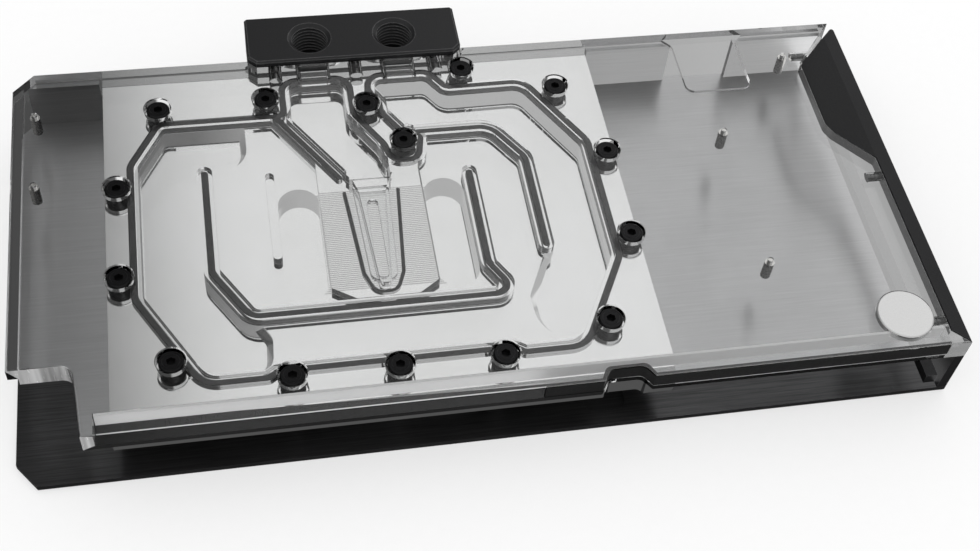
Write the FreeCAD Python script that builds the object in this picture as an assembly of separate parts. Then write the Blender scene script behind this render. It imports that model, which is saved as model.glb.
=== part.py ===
import FreeCAD, Part
import math
import os

# Full-cover liquid cooling cold plate with clear top, terminal, end cover and backplate.
# Layout frame while building: X from the left edge, Y from the front edge, Z up from
# the underside of the backplate. Every piece is moved to the handed-in frame at export.

os.makedirs("parts", exist_ok=True)

# overall sizes
LENGTH = 268.0
FRONT_D = 41.7
FIN_D = 37.2
REAR_D = 53.1
TERMINAL_D = 20.4
TERMINAL_NEST = 2.8
TOP_Z = 25.45
TERMINAL_RISE = 1.8

# depths add up: space in front of the fins, the fins, space behind them, the terminal
FIN_Y0 = FRONT_D
FIN_Y1 = FIN_Y0 + FIN_D
BODY_Y = FIN_Y1 + REAR_D
TERM_Y0 = BODY_Y - TERMINAL_NEST
TOTAL_Y = TERM_Y0 + TERMINAL_D

# stack, from the bottom up
BACKPLATE_T = 2.0
BACK_LIP = 0.9
PLATE_T = 4.9
CLEAR_T = 7.1
SEAL_Z = TOP_Z - CLEAR_T
PLATE_Z = SEAL_Z - PLATE_T

# fits
GAP = 0.15
THREAD_GAP = 0.03

# cover screws through the clear top into the cold plate
AXIS_X = 104.5
HEAD_R = 3.5
HEAD_H = 2.8
HEAD_SINK = 0.5
HEX_KEY = 2.5
HEX_DEPTH = 1.6
SHANK_R = 2.0
SHANK_HOLE_R = 2.2
SINK_R = 4.1
SIDE_X = 74.4
CORNER_X = 61.3
ROW_X = 29.4
ROW_Y = 12.7
CORNER_Y = 20.9
SIDE_Y0 = FIN_Y0 + 9.1
SIDE_Y1 = FIN_Y1 + 4.9
SCREW_SPOTS = [
    (AXIS_X - SIDE_X, SIDE_Y0), (AXIS_X - SIDE_X, SIDE_Y1),
    (AXIS_X + SIDE_X, SIDE_Y0), (AXIS_X + SIDE_X, SIDE_Y1),
    (AXIS_X - CORNER_X, CORNER_Y), (AXIS_X + CORNER_X, CORNER_Y),
    (AXIS_X - ROW_X, ROW_Y), (AXIS_X, ROW_Y), (AXIS_X + ROW_X, ROW_Y),
    (AXIS_X - CORNER_X, BODY_Y - 17.8), (76.1, BODY_Y - 16.4), (107.2, BODY_Y - 21.2),
    (116.6, FIN_Y1 + 15.7), (139.1, BODY_Y - 8.7), (168.1, BODY_Y - 19.4),
]

# channels
CHANNEL_H = 2.35
TALL_H = 5.2
RAMP = 1.9
OUTLET_P = 4.3
GASKET_HALF = 1.0
GASKET_H = 1.7
GASKET_BEVEL = 0.3
THIN_GASKET_HALF = 0.5
THIN_GASKET_H = 0.9
THIN_GASKET_BEVEL = 0.15
GASKET_GAP = 0.05
RIB_HALF = 2.3

# fins under the inlet slot
FIN_X0 = 88.8
FIN_X1 = 120.1
FIN_PITCH = 0.7
FIN_SLOT = 0.4
FIN_DEPTH = 3.0
JET_T = 1.0
JET_HALF = 5.3
SLOT_W = 3.4
SLOT_Y0 = FIN_Y0 + 4.3
SLOT_Y1 = FIN_Y1 - 3.7
OUTLET_W = 12.5

# raised contact block under the fins
BLOCK_DROP = 2.5
BLOCK_MARGIN = 4.0
LAND_DROP = 1.0
LAND_W = 15.0
LAND_D = 12.0
LAND_HALF = 21.0
LAND_Y = 18.0

# outline of the cold plate
PLATE_X0 = 26.4
PLATE_X1 = 181.8
PLATE_FRONT = 2.0
PLATE_INSET = 0.5

# terminal with two G1/4 ports
TERM_X0 = 71.9
TERM_X1 = 140.2
TERM_CORNER = 2.6
TERM_Z0 = PLATE_Z
TERM_Z1 = TOP_Z + TERMINAL_RISE
PORT_PITCH = 27.3
PORT_X0 = 92.1
PORT_Y = TERM_Y0 + 9.6
PORT_MAJOR_R = 13.157 / 2
PORT_MINOR_R = 11.445 / 2
PORT_THREAD_PITCH = 1.337
PORT_THREAD_L = 9.4
PORT_DEPTH = 12.0
WINDOW_W = 10.4
WINDOW_H = 2.3
WINDOW_Z = SEAL_Z + 3.85
SEAL_CORD_R = 0.65
TERM_SCREW_REACH = 25.6
TERM_SCREW_R = 1.5
TERM_HEAD_R = 2.75
TERM_HEAD_H = 2.8
TERM_HEAD_SINK = 0.4
TERM_HEAD_GAP = 0.25
TERM_SCREW_Z = SEAL_Z + 3.2

# light strip groove along the front edge of the clear top
GROOVE_X0 = 22.4
GROOVE_X1 = LENGTH - 6.0
GROOVE_Y = 6.85
GROOVE_CEIL = 0.7
GROOVE_H = 4.7
STRIP_T = 0.8
STRIP_GAP = 0.2
SHADE_X0 = 143.0
SHADE_SET = 0.2
SHADE_T = 1.0

# notch through the front edge
NOTCH_X0 = 159.6
NOTCH_X1 = 173.8
NOTCH_D = 3.6

# badge disc
BADGE_X = LENGTH - 16.4
BADGE_Y = 11.8
BADGE_R = 8.25
BADGE_T = 2.4
BADGE_PROUD = 0.25

# end cover
STRIP_W = 4.6
FACET_W = 16.3
FACET_X = LENGTH - FACET_W
FACET_Y = BODY_Y - 48.4
FACET_DROP = 1.4
TIP_Y = 18.0
TIP_SET = 1.2
FLANGE_T = 2.6
WALL_T = 3.0
COVER_SCREW_Z = SEAL_Z + 2.6
COVER_SCREW_R = 1.25
COVER_HEAD_R = 2.4
COVER_INSERT_R = 1.8
COVER_SCREW_Y = [9.6, BODY_Y - 66.6, BODY_Y - 12.5]
INSERT_R = 2.0
INSERT_L = 4.5
EDGE_BEVEL = 0.25

# backplate
CORNER_CUT_X = 6.2
CORNER_CUT_Y = 6.6
FRONT_CUT_X = 5.6
FRONT_CUT_Y = 7.4
RIM_T = 1.8
RIM_GAP = 0.35
RIM_X0 = 3.2
ROUND_POCKET_X = 128.4
ROUND_POCKET_R = 4.3
POCKET_Y = 12.4
LONG_POCKET_X0 = 158.0
LONG_POCKET_X1 = 170.2
LONG_POCKET_HALF = 8.0
SMALL_POCKET_DEPTH = 0.5
MAIN_POCKET_DEPTH = 0.8
MAIN_POCKET_HALF = 26.0
BACK_SCREW_X = LENGTH - 4.0
BACK_SCREW_Y = [12.0, BODY_Y / 2, BODY_Y - 12.0]
BACK_SCREW_R = 1.25
BACK_HEAD_R = 2.4

# board spacers hanging from the clear top and from the cold plate
STUD_R = 0.8
SPACER_R = 1.5
SPACER_H = 6.3
SPACER_TAP_R = 0.8
PLATE_SPACER_R = 2.5
PLATE_SPACER_H = 1.5
PLATE_SPACER_TAP_R = 1.05
BOARD_PITCH = 64.0
BOARD_HOLE_R = 1.3
SPACER_SPOTS = [
    (6.1, BODY_Y - 14.5), (6.1, BODY_Y - 42.5), (LENGTH - 19.8, BODY_Y - 11.0),
    (LENGTH - 49.0, BODY_Y - 42.0), (LENGTH - 49.0, 37.6),
]

# socket for the power plug under the back edge
RECESS_W = 22.0
RECESS_X0 = LENGTH - 56.3
RECESS_X1 = RECESS_X0 + RECESS_W
RECESS_Y = BODY_Y - 24.1
RECESS_H = 1.65


def vec(x, y, z=0.0):
    return FreeCAD.Vector(x, y, z)


def box(x0, x1, y0, y1, z0, z1):
    return Part.makeBox(x1 - x0, y1 - y0, z1 - z0, vec(x0, y0, z0))


def cyl(x, y, z0, z1, r):
    return Part.makeCylinder(r, z1 - z0, vec(x, y, z0))


def cyl_along(axis, x, y, z, r, length):
    return Part.makeCylinder(r, length, vec(x, y, z), axis)


def rounded_wire(points, z, closed=True):
    """Polyline through (x, y) or (x, y, corner radius) points, corners as arcs."""
    count = len(points)
    spots = [vec(p[0], p[1], z) for p in points]
    radii = [p[2] if len(p) > 2 else 0.0 for p in points]
    starts = []
    ends = []
    mids = []
    for i in range(count):
        inner = closed or 0 < i < count - 1
        if radii[i] <= 0 or not inner:
            starts.append(spots[i])
            ends.append(spots[i])
            mids.append(None)
            continue
        back = (spots[i - 1] - spots[i]).normalize()
        ahead = (spots[(i + 1) % count] - spots[i]).normalize()
        half = back.getAngle(ahead) / 2
        run = radii[i] / math.tan(half)
        bisector = (back + ahead).normalize()
        centre = spots[i] + bisector * (radii[i] / math.sin(half))
        starts.append(spots[i] + back * run)
        ends.append(spots[i] + ahead * run)
        mids.append(centre - bisector * radii[i])
    edges = []
    for i in range(count):
        if mids[i] is not None:
            edges.append(Part.Arc(starts[i], mids[i], ends[i]).toShape())
        if i < count - 1 or closed:
            following = starts[(i + 1) % count]
            if (following - ends[i]).Length > 1e-6:
                edges.append(Part.LineSegment(ends[i], following).toShape())
    return Part.Wire(edges)


def prism(points, z0, z1):
    face = Part.Face(rounded_wire(points, z0))
    return face.extrude(vec(0, 0, z1 - z0))


def slot_body(x0, x1, y0, y1, z0, z1):
    """Upright slot with fully rounded ends along its longer side."""
    r = min(x1 - x0, y1 - y0) / 2 - 0.001
    return prism([(x0, y0, r), (x1, y0, r), (x1, y1, r), (x0, y1, r)], z0, z1)


def band(points, half, z0, z1):
    """Upright band of even width along an open path, ends rounded."""
    if len(points) == 2:
        a = vec(points[0][0], points[0][1])
        b = vec(points[1][0], points[1][1])
        ahead = (b - a).normalize() * half
        side = vec(-ahead.y, ahead.x)
        corners = [a - ahead - side, b + ahead - side, b + ahead + side, a - ahead + side]
        return prism([(c.x, c.y, half - 0.001) for c in corners], z0, z1)
    path = rounded_wire(points, z0, closed=False)
    outline = path.makeOffset2D(half, 0, False, False)
    return Part.Face(outline).extrude(vec(0, 0, z1 - z0))


# gasket runs, shared by the cords and by the grooves that hold them
OUTER_RUN = [
    (34.0, FIN_Y1 + 15.1, 6), (42.9, BODY_Y - 21.8, 4), (80.4, BODY_Y - 21.8, 1.2),
    (81.4, BODY_Y - 19.6, 1.2), (81.4, BODY_Y - 7.1, 5), (102.9, BODY_Y - 7.1, 5),
    (102.9, BODY_Y - 23.4, 5), (110.6, FIN_Y1 + 16.7, 4), (112.4, FIN_Y1 + 9.5, 4),
    (120.6, FIN_Y1 + 9.5, 4), (122.2, FIN_Y1 + 18.1, 2), (119.0, FIN_Y1 + 21.5, 1.5),
    (116.8, FIN_Y1 + 21.5, 1.5), (111.4, BODY_Y - 22.7, 3), (111.4, BODY_Y - 18.8, 3),
    (108.6, BODY_Y - 13.6, 3), (108.6, BODY_Y - 7.1, 5), (128.6, BODY_Y - 7.1, 5),
    (133.4, BODY_Y - 14.4, 3), (158.6, BODY_Y - 14.1, 7), (174.2, FIN_Y1 + 11.5, 6),
    (174.2, FIN_Y0 + 2.9, 6), (158.0, 14.4, 8), (140.2, 14.4, 2), (137.4, 16.3, 2),
    (71.6, 16.3, 2), (68.8, 14.4, 2), (51.0, 14.4, 8), (34.0, FIN_Y0 + 2.9, 6),
]
INLET_RUN = [(78.6, BODY_Y - 22.4), (95.4, FIN_Y1 + 4.5)]
RETURN_RUN = [
    (121.6, FIN_Y1 + 20.7), (144.6, FIN_Y1 + 20.7, 7), (153.4, FIN_Y1 + 7.1, 5),
    (153.4, FIN_Y0 + 9.7),
]
INNER_RUN = [
    (55.7, FIN_Y1 + 10.1), (55.7, FIN_Y0 + 9.9, 4), (65.6, FIN_Y0 - 6.5, 5),
    (141.6, FIN_Y0 - 6.5, 3.5), (135.1, FIN_Y0 + 4.9, 4), (135.1, FIN_Y1 + 2.7),
]
JET_RUN = [
    (96.4, FIN_Y1 - 1.7), (98.7, FIN_Y0 + 4.9, 4), (101.4, FIN_Y0 - 1.8, 3.4),
    (107.6, FIN_Y0 - 1.8, 3.4), (110.2, FIN_Y0 + 4.9, 4), (112.6, FIN_Y1 - 1.7),
]
JET_WEDGE = [
    (98.6, FIN_Y1 + 3.6), (100.6, FIN_Y1 - 2.9, 2), (102.8, FIN_Y0 + 1.3, 1.6),
    (103.2, FIN_Y0 - 0.1, 1), (105.8, FIN_Y0 - 0.1, 1), (106.2, FIN_Y0 + 1.3, 1.6),
    (108.6, FIN_Y1 - 2.9, 2), (111.4, FIN_Y1 + 3.6),
]

# zones of the coolant space that are cut taller or deeper
INLET_CHAMBER = [
    (80, BODY_Y - 2), (80, BODY_Y - 23.6), (97.6, FIN_Y1 + 0.1), (112.0, FIN_Y1 + 0.1),
    (112.0, FIN_Y1 + 16.1), (105.2, BODY_Y - 23.6), (105.2, BODY_Y - 2),
]
LEFT_ZONE = [
    (25, -5), (67.0, -5), (67.0, 14.0), (70.6, 21.0, 6), (71.0, FRONT_D - 13.2, 4),
    (67.4, FIN_Y0 - 6.5), (62.0, FIN_Y0 - 0.9), (55.7, FIN_Y0 + 9.9), (55.7, FIN_Y1 + 10.5),
    (58.0, FIN_Y1 + 12.4), (68.8, FIN_Y1 + 12.4, 8), (68.8, BODY_Y - 17), (25, BODY_Y - 17),
]
RIGHT_ZONE = [
    (190, 18.4), (146.0, 18.4, 11), (145.4, FIN_Y0 - 7.1),
    (153.4, FIN_Y0 + 9.7), (153.4, FIN_Y1 + 7.1), (144.6, FIN_Y1 + 20.7), (122.0, FIN_Y1 + 20.7),
    (112.0, BODY_Y - 21.4), (105.3, BODY_Y - 21.4), (105.3, BODY_Y - 2), (190, BODY_Y - 2),
]
INLET_EAR = [
    (FIN_X0 + 0.05, FIN_Y1 - 1), (FIN_X0 + 0.05, FIN_Y1 + 10.5), (95.4, FIN_Y1 + 5.6),
    (98.3, FIN_Y1 + 2.6, 1), (98.3, FIN_Y1 - 1),
]
OUTLET_EAR = [
    (110.8, FIN_Y1 - 1), (110.8, FIN_Y1 + 9.5), (FIN_X1 - 0.05, FIN_Y1 + 9.5),
    (FIN_X1 - 0.05, FIN_Y1 - 1),
]


def wet_body(z0, z1):
    """Room inside the outer gasket that coolant fills, with the ribs standing in it."""
    inner = rounded_wire(OUTER_RUN, z0).makeOffset2D(-RIB_HALF, 0, False, False)
    area = Part.Face(inner).extrude(vec(0, 0, z1 - z0))
    lo = z0 - 1
    hi = z1 + 1
    keep = [
        band(INLET_RUN, RIB_HALF, lo, hi),
        band(RETURN_RUN, RIB_HALF, lo, hi),
        band(INNER_RUN, RIB_HALF, lo, hi),
        slot_body(73.4, 76.1, FIN_Y0 + 12.3, FIN_Y1 + 7.9, lo, hi),
    ]
    return area.cut(keep)


def tall_zone(points):
    """Zone with a taller ceiling, its free edges sloped down to the lower channels."""
    body = prism(points, SEAL_Z - 2, SEAL_Z + TALL_H)
    upper = []
    for edge in body.Edges:
        place = edge.BoundBox
        inside = PLATE_X0 < place.Center.x < PLATE_X1 and place.Center.y > 0
        if place.ZMin > SEAL_Z + TALL_H - 0.01 and inside and place.YMax < BODY_Y - 8:
            upper.append(edge)
    return body.makeChamfer(RAMP, upper)


def jet_land(z0, z1):
    """Clear land over the fins, with an ear on each side of the inlet."""
    top = FIN_Y1 + 1.5
    toe = FIN_Y0 - 4.1
    points = [
        (FIN_X0 + 0.05, FIN_Y0 + 0.3), (95.6, toe), (113.7, toe), (FIN_X1 - 0.05, FIN_Y0 + 0.3),
        (FIN_X1 - 0.05, top - 0.8, 1), (110.6, top, 1), (98.0, top, 1), (FIN_X0 + 0.05, top - 0.8, 1),
    ]
    ears = [prism(INLET_EAR, z0, z1), prism(OUTLET_EAR, z0, z1)]
    return prism(points, z0, z1).fuse(ears).removeSplitter()


def front_notch(grow, z0, z1):
    """Shallow notch with soft corners through the front edge, grown by a margin."""
    run = 2.4
    x0 = NOTCH_X0 - grow
    x1 = NOTCH_X1 + grow
    depth = NOTCH_D + grow
    return prism([(x0 - 2, -2.0), (x0, 0.2, 1.2), (x0 + run, depth, run),
                  (x1 - run, depth, run), (x1, 0.2, 1.2), (x1 + 2, -2.0)], z0, z1)


def hexagon(x, y, z0, z1, across):
    r = across / math.sqrt(3)
    corners = []
    for i in range(6):
        a = math.radians(60 * i + 30)
        corners.append((x + r * math.cos(a), y + r * math.sin(a)))
    return prism(corners, z0, z1)


def right_contour(off):
    """Inner edge of the end cover in plan, moved by off towards the clear top."""
    inner = LENGTH - STRIP_W - off
    return [
        (inner, STRIP_W + 0.4 * off), (inner, FACET_Y - 12.2, 1.5), (FACET_X + 1.5 - off, FACET_Y, 4),
        (FACET_X - off, FACET_Y + 3.4, 4), (FACET_X - off, BODY_Y - TIP_Y + 0.6 * off, 1),
    ]


def make_clear_top():
    """Clear acrylic top with channels, gasket grooves, counterbores and the light groove."""
    outline = [(19.1, 0), (LENGTH, 0)]
    outline += right_contour(GAP)
    outline += [(LENGTH - TIP_SET, BODY_Y)]
    nest = TERM_Y0 - GAP
    lip = TERM_Y0 + TERM_CORNER
    outline += [
        (TERM_X1 + GAP, BODY_Y), (TERM_X1 + GAP, lip), (TERM_X1 - TERM_CORNER, nest),
        (TERM_X0 + TERM_CORNER, nest), (TERM_X0 - GAP, lip), (TERM_X0 - GAP, BODY_Y),
        (CORNER_CUT_X, BODY_Y), (0, BODY_Y - CORNER_CUT_Y), (0, 22.6), (17.2, 22.6, 4),
    ]
    body = bevelled(prism(outline, SEAL_Z, TOP_Z), TOP_Z)
    cuts = []
    # flange along the left side
    cuts.append(box(-1, 2.8, 10, BODY_Y + 1, SEAL_Z - 1, TOP_Z - 4.35))
    # channels, with the clear land over the fins standing in them
    land = jet_land(SEAL_Z - 2, TOP_Z)
    cuts.append(wet_body(SEAL_Z - 1, SEAL_Z + CHANNEL_H).cut(land))
    # taller chambers behind the two ports and along both flanks
    tall = wet_body(SEAL_Z - 1, SEAL_Z + TALL_H).cut(land)
    cuts.append(tall.common(prism(INLET_CHAMBER, SEAL_Z - 2, TOP_Z)))
    cuts.append(tall.common(tall_zone(LEFT_ZONE)))
    cuts.append(tall.common(tall_zone(RIGHT_ZONE)))
    # wedge that narrows over the fins
    cuts.append(prism(JET_WEDGE, SEAL_Z + JET_T, SEAL_Z + 4.2))
    # seat of the jet plate
    cuts.append(jet_plate_body(GAP, SEAL_Z - 1))
    # windows through the back wall to the terminal
    for px in (PORT_X0, PORT_X0 + PORT_PITCH):
        cuts.append(window_body(px, BODY_Y - 17.0, TERM_Y0 + 1))
    # gasket grooves
    groove_lo = SEAL_Z - 1
    groove_hi = SEAL_Z + GASKET_H + GASKET_GAP
    half = GASKET_HALF + GASKET_GAP
    cuts.append(ring_band(half, groove_lo, groove_hi))
    for run in (INLET_RUN, RETURN_RUN, INNER_RUN):
        cuts.append(band(run, half, groove_lo, groove_hi))
    thin_hi = SEAL_Z + THIN_GASKET_H + GASKET_GAP
    cuts.append(band(JET_RUN, THIN_GASKET_HALF + GASKET_GAP, groove_lo, thin_hi))
    # counterbored screw holes
    for x, y in SCREW_SPOTS:
        cuts.append(cyl(x, y, SEAL_Z - 1, TOP_Z + 1, SHANK_HOLE_R))
        cuts.append(cyl(x, y, TOP_Z - HEAD_SINK - HEAD_H, TOP_Z + 1, SINK_R))
        rim = Part.makeCone(SINK_R, SINK_R + 0.3, 0.3, vec(x, y, TOP_Z - 0.3))
        cuts.append(rim)
    # front groove for the light strip, notch and badge seat
    ceiling = TOP_Z - GROOVE_CEIL
    cuts.append(box(GROOVE_X0, GROOVE_X1, -1, GROOVE_Y, ceiling - GROOVE_H, ceiling))
    cuts.append(front_notch(0, SEAL_Z - 1, TOP_Z + 1))
    cuts.append(badge_seat(GAP))
    # socket recess under the back edge with a flared mouth
    flare = 3.4
    neck = BODY_Y - flare
    recess = prism([(RECESS_X0, RECESS_Y, 3), (RECESS_X1, RECESS_Y, 3), (RECESS_X1, neck, 3),
                    (RECESS_X1 + flare, BODY_Y + 0.6), (RECESS_X0 - flare, BODY_Y + 0.6),
                    (RECESS_X0, neck, 3)], SEAL_Z - 1, SEAL_Z + RECESS_H)
    cuts.append(recess)
    # bores for inserts and studs
    for y in COVER_SCREW_Y:
        cuts.append(cover_bore(y))
    for x in terminal_screw_x():
        cuts.append(cyl_along(vec(0, 1, 0), x, TERM_Y0 - GAP - INSERT_L, TERM_SCREW_Z, INSERT_R, 6))
    for x, y in SPACER_SPOTS:
        cuts.append(cyl(x, y, SEAL_Z - 1, SEAL_Z + 2.5, STUD_R + THREAD_GAP))
    return body.cut(cuts)


def jet_plate_body(grow, z0):
    """Outline of the jet plate that lies on the fins under the inlet wedge."""
    x0 = AXIS_X - JET_HALF - grow
    x1 = AXIS_X + JET_HALF + grow
    y0 = FIN_Y0 + 2.3 - grow
    y1 = FIN_Y1 - 0.5 + grow
    return prism([(x0 + 1.6, y0, 3), (x1 - 1.6, y0, 3), (x1, y1, 1), (x0, y1, 1)], z0, SEAL_Z + JET_T)


def make_jet_plate():
    """Thin clear plate with the long slot that feeds the middle of the fins."""
    x0 = AXIS_X - 0.05 - SLOT_W / 2
    slot = slot_body(x0, x0 + SLOT_W, SLOT_Y0, SLOT_Y1, SEAL_Z - 1, SEAL_Z + 2)
    return jet_plate_body(0, SEAL_Z).cut(slot)


def window_body(px, y0, y1):
    x0 = px - WINDOW_W / 2
    r = WINDOW_H / 2
    z0 = WINDOW_Z - r
    mid = Part.makeBox(WINDOW_W - 2 * r, y1 - y0, WINDOW_H, vec(x0 + r, y0, z0))
    left = cyl_along(vec(0, 1, 0), x0 + r, y0, WINDOW_Z, r, y1 - y0)
    right = cyl_along(vec(0, 1, 0), x0 + WINDOW_W - r, y0, WINDOW_Z, r, y1 - y0)
    return mid.fuse([left, right]).removeSplitter()


def badge_seat(grow):
    """Room of the badge disc in the clear top, with a margin round and below it."""
    return cyl(BADGE_X, BADGE_Y, TOP_Z - BADGE_T - grow + GAP, TOP_Z + 1, BADGE_R + grow)


def bevelled(body, z, size=EDGE_BEVEL):
    """Body with its edges at one level broken by a small bevel."""
    level = []
    for edge in body.Edges:
        if abs(edge.BoundBox.ZMin - z) < 0.01 and abs(edge.BoundBox.ZMax - z) < 0.01:
            level.append(edge)
    return body.makeChamfer(size, level)


def cover_edge(y):
    """Where the clear top ends towards the cover, level with one cover screw."""
    if y > BODY_Y - TIP_Y:
        low = y - COVER_INSERT_R - (BODY_Y - TIP_Y)
        return FACET_X + low * (FACET_W - TIP_SET) / TIP_Y
    if y > FACET_Y:
        return FACET_X
    return LENGTH - STRIP_W


def cover_bore(y):
    """Bore in the clear top for one insert and its screw, open towards the cover."""
    start = cover_bore_start(y)
    reach = INSERT_L + 2 * COVER_INSERT_R + 1
    return cyl_along(vec(1, 0, 0), start, y, COVER_SCREW_Z, COVER_INSERT_R, reach)


def cover_bore_start(y):
    return cover_edge(y) - GAP - INSERT_L


def terminal_screw_x():
    middle = PORT_X0 + PORT_PITCH / 2
    return [middle - TERM_SCREW_REACH, middle, middle + TERM_SCREW_REACH]


def make_cold_plate():
    """Nickel-plated plate with micro fins, outlet pockets, tapped holes and the contact block."""
    x0 = PLATE_X0
    x1 = PLATE_X1
    front = PLATE_FRONT
    back = BODY_Y - PLATE_INSET
    points = [
        (x0, front), (x1, front, 1), (x1, back), (TERM_X1 + 1, back),
        (TERM_X1 + 1, TERM_Y0 + 1.6), (TERM_X1 - TERM_CORNER, TERM_Y0 - 1.2),
        (TERM_X0 + TERM_CORNER, TERM_Y0 - 1.2), (TERM_X0 - 1, TERM_Y0 + 1.6),
        (TERM_X0 - 1, back), (x0, back),
    ]
    body = prism(points, PLATE_Z, SEAL_Z)
    m = BLOCK_MARGIN
    block = prism([(FIN_X0 - 9 - m, FIN_Y0 - 5, 3), (FIN_X1 + 9 + m, FIN_Y0 - 5, 3),
                   (FIN_X1 + 9 + m, FIN_Y1 + 5, 3), (FIN_X0 - 9 - m, FIN_Y1 + 5, 3)],
                  PLATE_Z - BLOCK_DROP, PLATE_Z)
    pads = [block]
    # raised lands for memory and power stages around the contact block
    side_y0 = FIN_Y0 - 11.7
    side_y1 = FIN_Y1 + 13.1
    rear_y = FIN_Y1 + 17.1
    left_x = PLATE_X0 + 21.6
    right_x = PLATE_X1 - 14.8 - LAND_W
    mid_x0 = AXIS_X - LAND_HALF
    mid_x1 = AXIS_X + LAND_HALF
    lands = [
        (left_x, side_y0, left_x + LAND_W, side_y1), (right_x, side_y0, right_x + LAND_W, side_y1),
        (mid_x0, rear_y, mid_x1, rear_y + LAND_D), (mid_x0, LAND_Y, mid_x1, LAND_Y + LAND_D),
    ]
    for lx0, ly0, lx1, ly1 in lands:
        pads.append(prism([(lx0, ly0, 2), (lx1, ly0, 2), (lx1, ly1, 2), (lx0, ly1, 2)],
                          PLATE_Z - LAND_DROP, PLATE_Z))
    body = body.fuse(pads)
    cuts = []
    # deep outlet pockets beside the fins
    for ox in (FIN_X0 - OUTLET_W, FIN_X1):
        cuts.append(slot_body(ox, ox + OUTLET_W, FIN_Y0 - 1.3, FIN_Y1 + 2.6, SEAL_Z - OUTLET_P, SEAL_Z + 1))
    # parallel slots leave the fins standing
    count = int((FIN_Y1 - FIN_Y0) / FIN_PITCH)
    for i in range(count):
        y = FIN_Y0 + i * FIN_PITCH
        cuts.append(box(FIN_X0 - 2.2, FIN_X1 + 2.2, y, y + FIN_SLOT, SEAL_Z - FIN_DEPTH, SEAL_Z + 1))
    cuts.append(front_notch(0, PLATE_Z - 1, SEAL_Z + 1))
    for x, y in SCREW_SPOTS:
        cuts.append(cyl(x, y, PLATE_Z - 3, SEAL_Z + 1, SHANK_R + THREAD_GAP))
    for x, y in plate_spacer_spots():
        cuts.append(cyl(x, y, PLATE_Z - 1, PLATE_Z + 2.5, STUD_R + THREAD_GAP))
    return body.cut(cuts)


def plate_spacer_spots():
    """Spots of the spacers that hold the plate off the board around the contact block."""
    half = BOARD_PITCH / 2
    mid_y = (FIN_Y0 + FIN_Y1) / 2
    return [(AXIS_X - half, mid_y - half), (AXIS_X + half, mid_y - half),
            (AXIS_X - half, mid_y + half), (AXIS_X + half, mid_y + half)]


def make_spacers(spots, z_top, height, radius, tap_r):
    """Round spacers with a stud up into the piece they hang from and a tapped lower end."""
    solids = []
    for x, y in spots:
        body = cyl(x, y, z_top - height, z_top, radius)
        stud = cyl(x, y, z_top - 1, z_top + 2.3, STUD_R)
        hole = cyl(x, y, z_top - height - 1, z_top - height + min(3.0, height - 0.5), tap_r)
        solids.append(body.fuse(stud).cut(hole))
    return Part.makeCompound(solids)


def make_end_spacers():
    return make_spacers(SPACER_SPOTS, SEAL_Z, SPACER_H, SPACER_R, SPACER_TAP_R)


def make_plate_spacers():
    return make_spacers(plate_spacer_spots(), PLATE_Z, PLATE_SPACER_H, PLATE_SPACER_R, PLATE_SPACER_TAP_R)


def make_terminal():
    """Terminal block with two G1/4 ports and the passages to the clear top."""
    c = TERM_CORNER
    points = [
        (TERM_X0 + c, TERM_Y0), (TERM_X1 - c, TERM_Y0), (TERM_X1, TERM_Y0 + c), (TERM_X1, TOTAL_Y - 0.8),
        (TERM_X1 - 0.8, TOTAL_Y), (TERM_X0 + 0.8, TOTAL_Y), (TERM_X0, TOTAL_Y - 0.8),
        (TERM_X0, TERM_Y0 + c),
    ]
    body = prism(points, TERM_Z0, TERM_Z1)
    top_edges = []
    for edge in body.Edges:
        if edge.BoundBox.ZMin > TERM_Z1 - 0.01:
            top_edges.append(edge)
    body = body.makeChamfer(0.6, top_edges)
    cuts = []
    for px in (PORT_X0, PORT_X0 + PORT_PITCH):
        cuts.append(port_body(px))
        cuts.append(window_body(px, TERM_Y0 - 1, PORT_Y - 2.0))
        cuts.append(seal_groove(px))
    seat = TOTAL_Y - TERM_HEAD_SINK - TERM_HEAD_H
    for x in terminal_screw_x():
        cuts.append(cyl_along(vec(0, 1, 0), x, TERM_Y0 - 1, TERM_SCREW_Z, TERM_SCREW_R + 0.1,
                              TERMINAL_D + 2))
        cuts.append(cyl_along(vec(0, 1, 0), x, seat, TERM_SCREW_Z, TERM_HEAD_R + TERM_HEAD_GAP,
                              TERM_HEAD_H + 1))
    return body.cut(cuts)


def port_body(px):
    """Threaded port as a cutting body: bore, thread grooves and lead-in."""
    top = TERM_Z1
    bore = cyl(px, PORT_Y, top - PORT_DEPTH, top + 1, PORT_MINOR_R)
    lead = Part.makeCone(PORT_MINOR_R, PORT_MAJOR_R + 0.35, 1.1, vec(px, PORT_Y, top - 1.1))
    pieces = [lead]
    turns = int(PORT_THREAD_L / PORT_THREAD_PITCH)
    half = PORT_THREAD_PITCH * 0.46
    for i in range(turns):
        z = top - 1.3 - i * PORT_THREAD_PITCH
        ring = [
            vec(px + PORT_MINOR_R - 0.2, PORT_Y, z), vec(px + PORT_MINOR_R, PORT_Y, z),
            vec(px + PORT_MAJOR_R, PORT_Y, z - half + 0.1), vec(px + PORT_MAJOR_R, PORT_Y, z - half - 0.1),
            vec(px + PORT_MINOR_R, PORT_Y, z - 2 * half), vec(px + PORT_MINOR_R - 0.2, PORT_Y, z - 2 * half),
        ]
        face = Part.Face(Part.makePolygon(ring + [ring[0]]))
        pieces.append(face.revolve(vec(px, PORT_Y, z), vec(0, 0, 1), 360))
    return bore.fuse(pieces)


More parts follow.
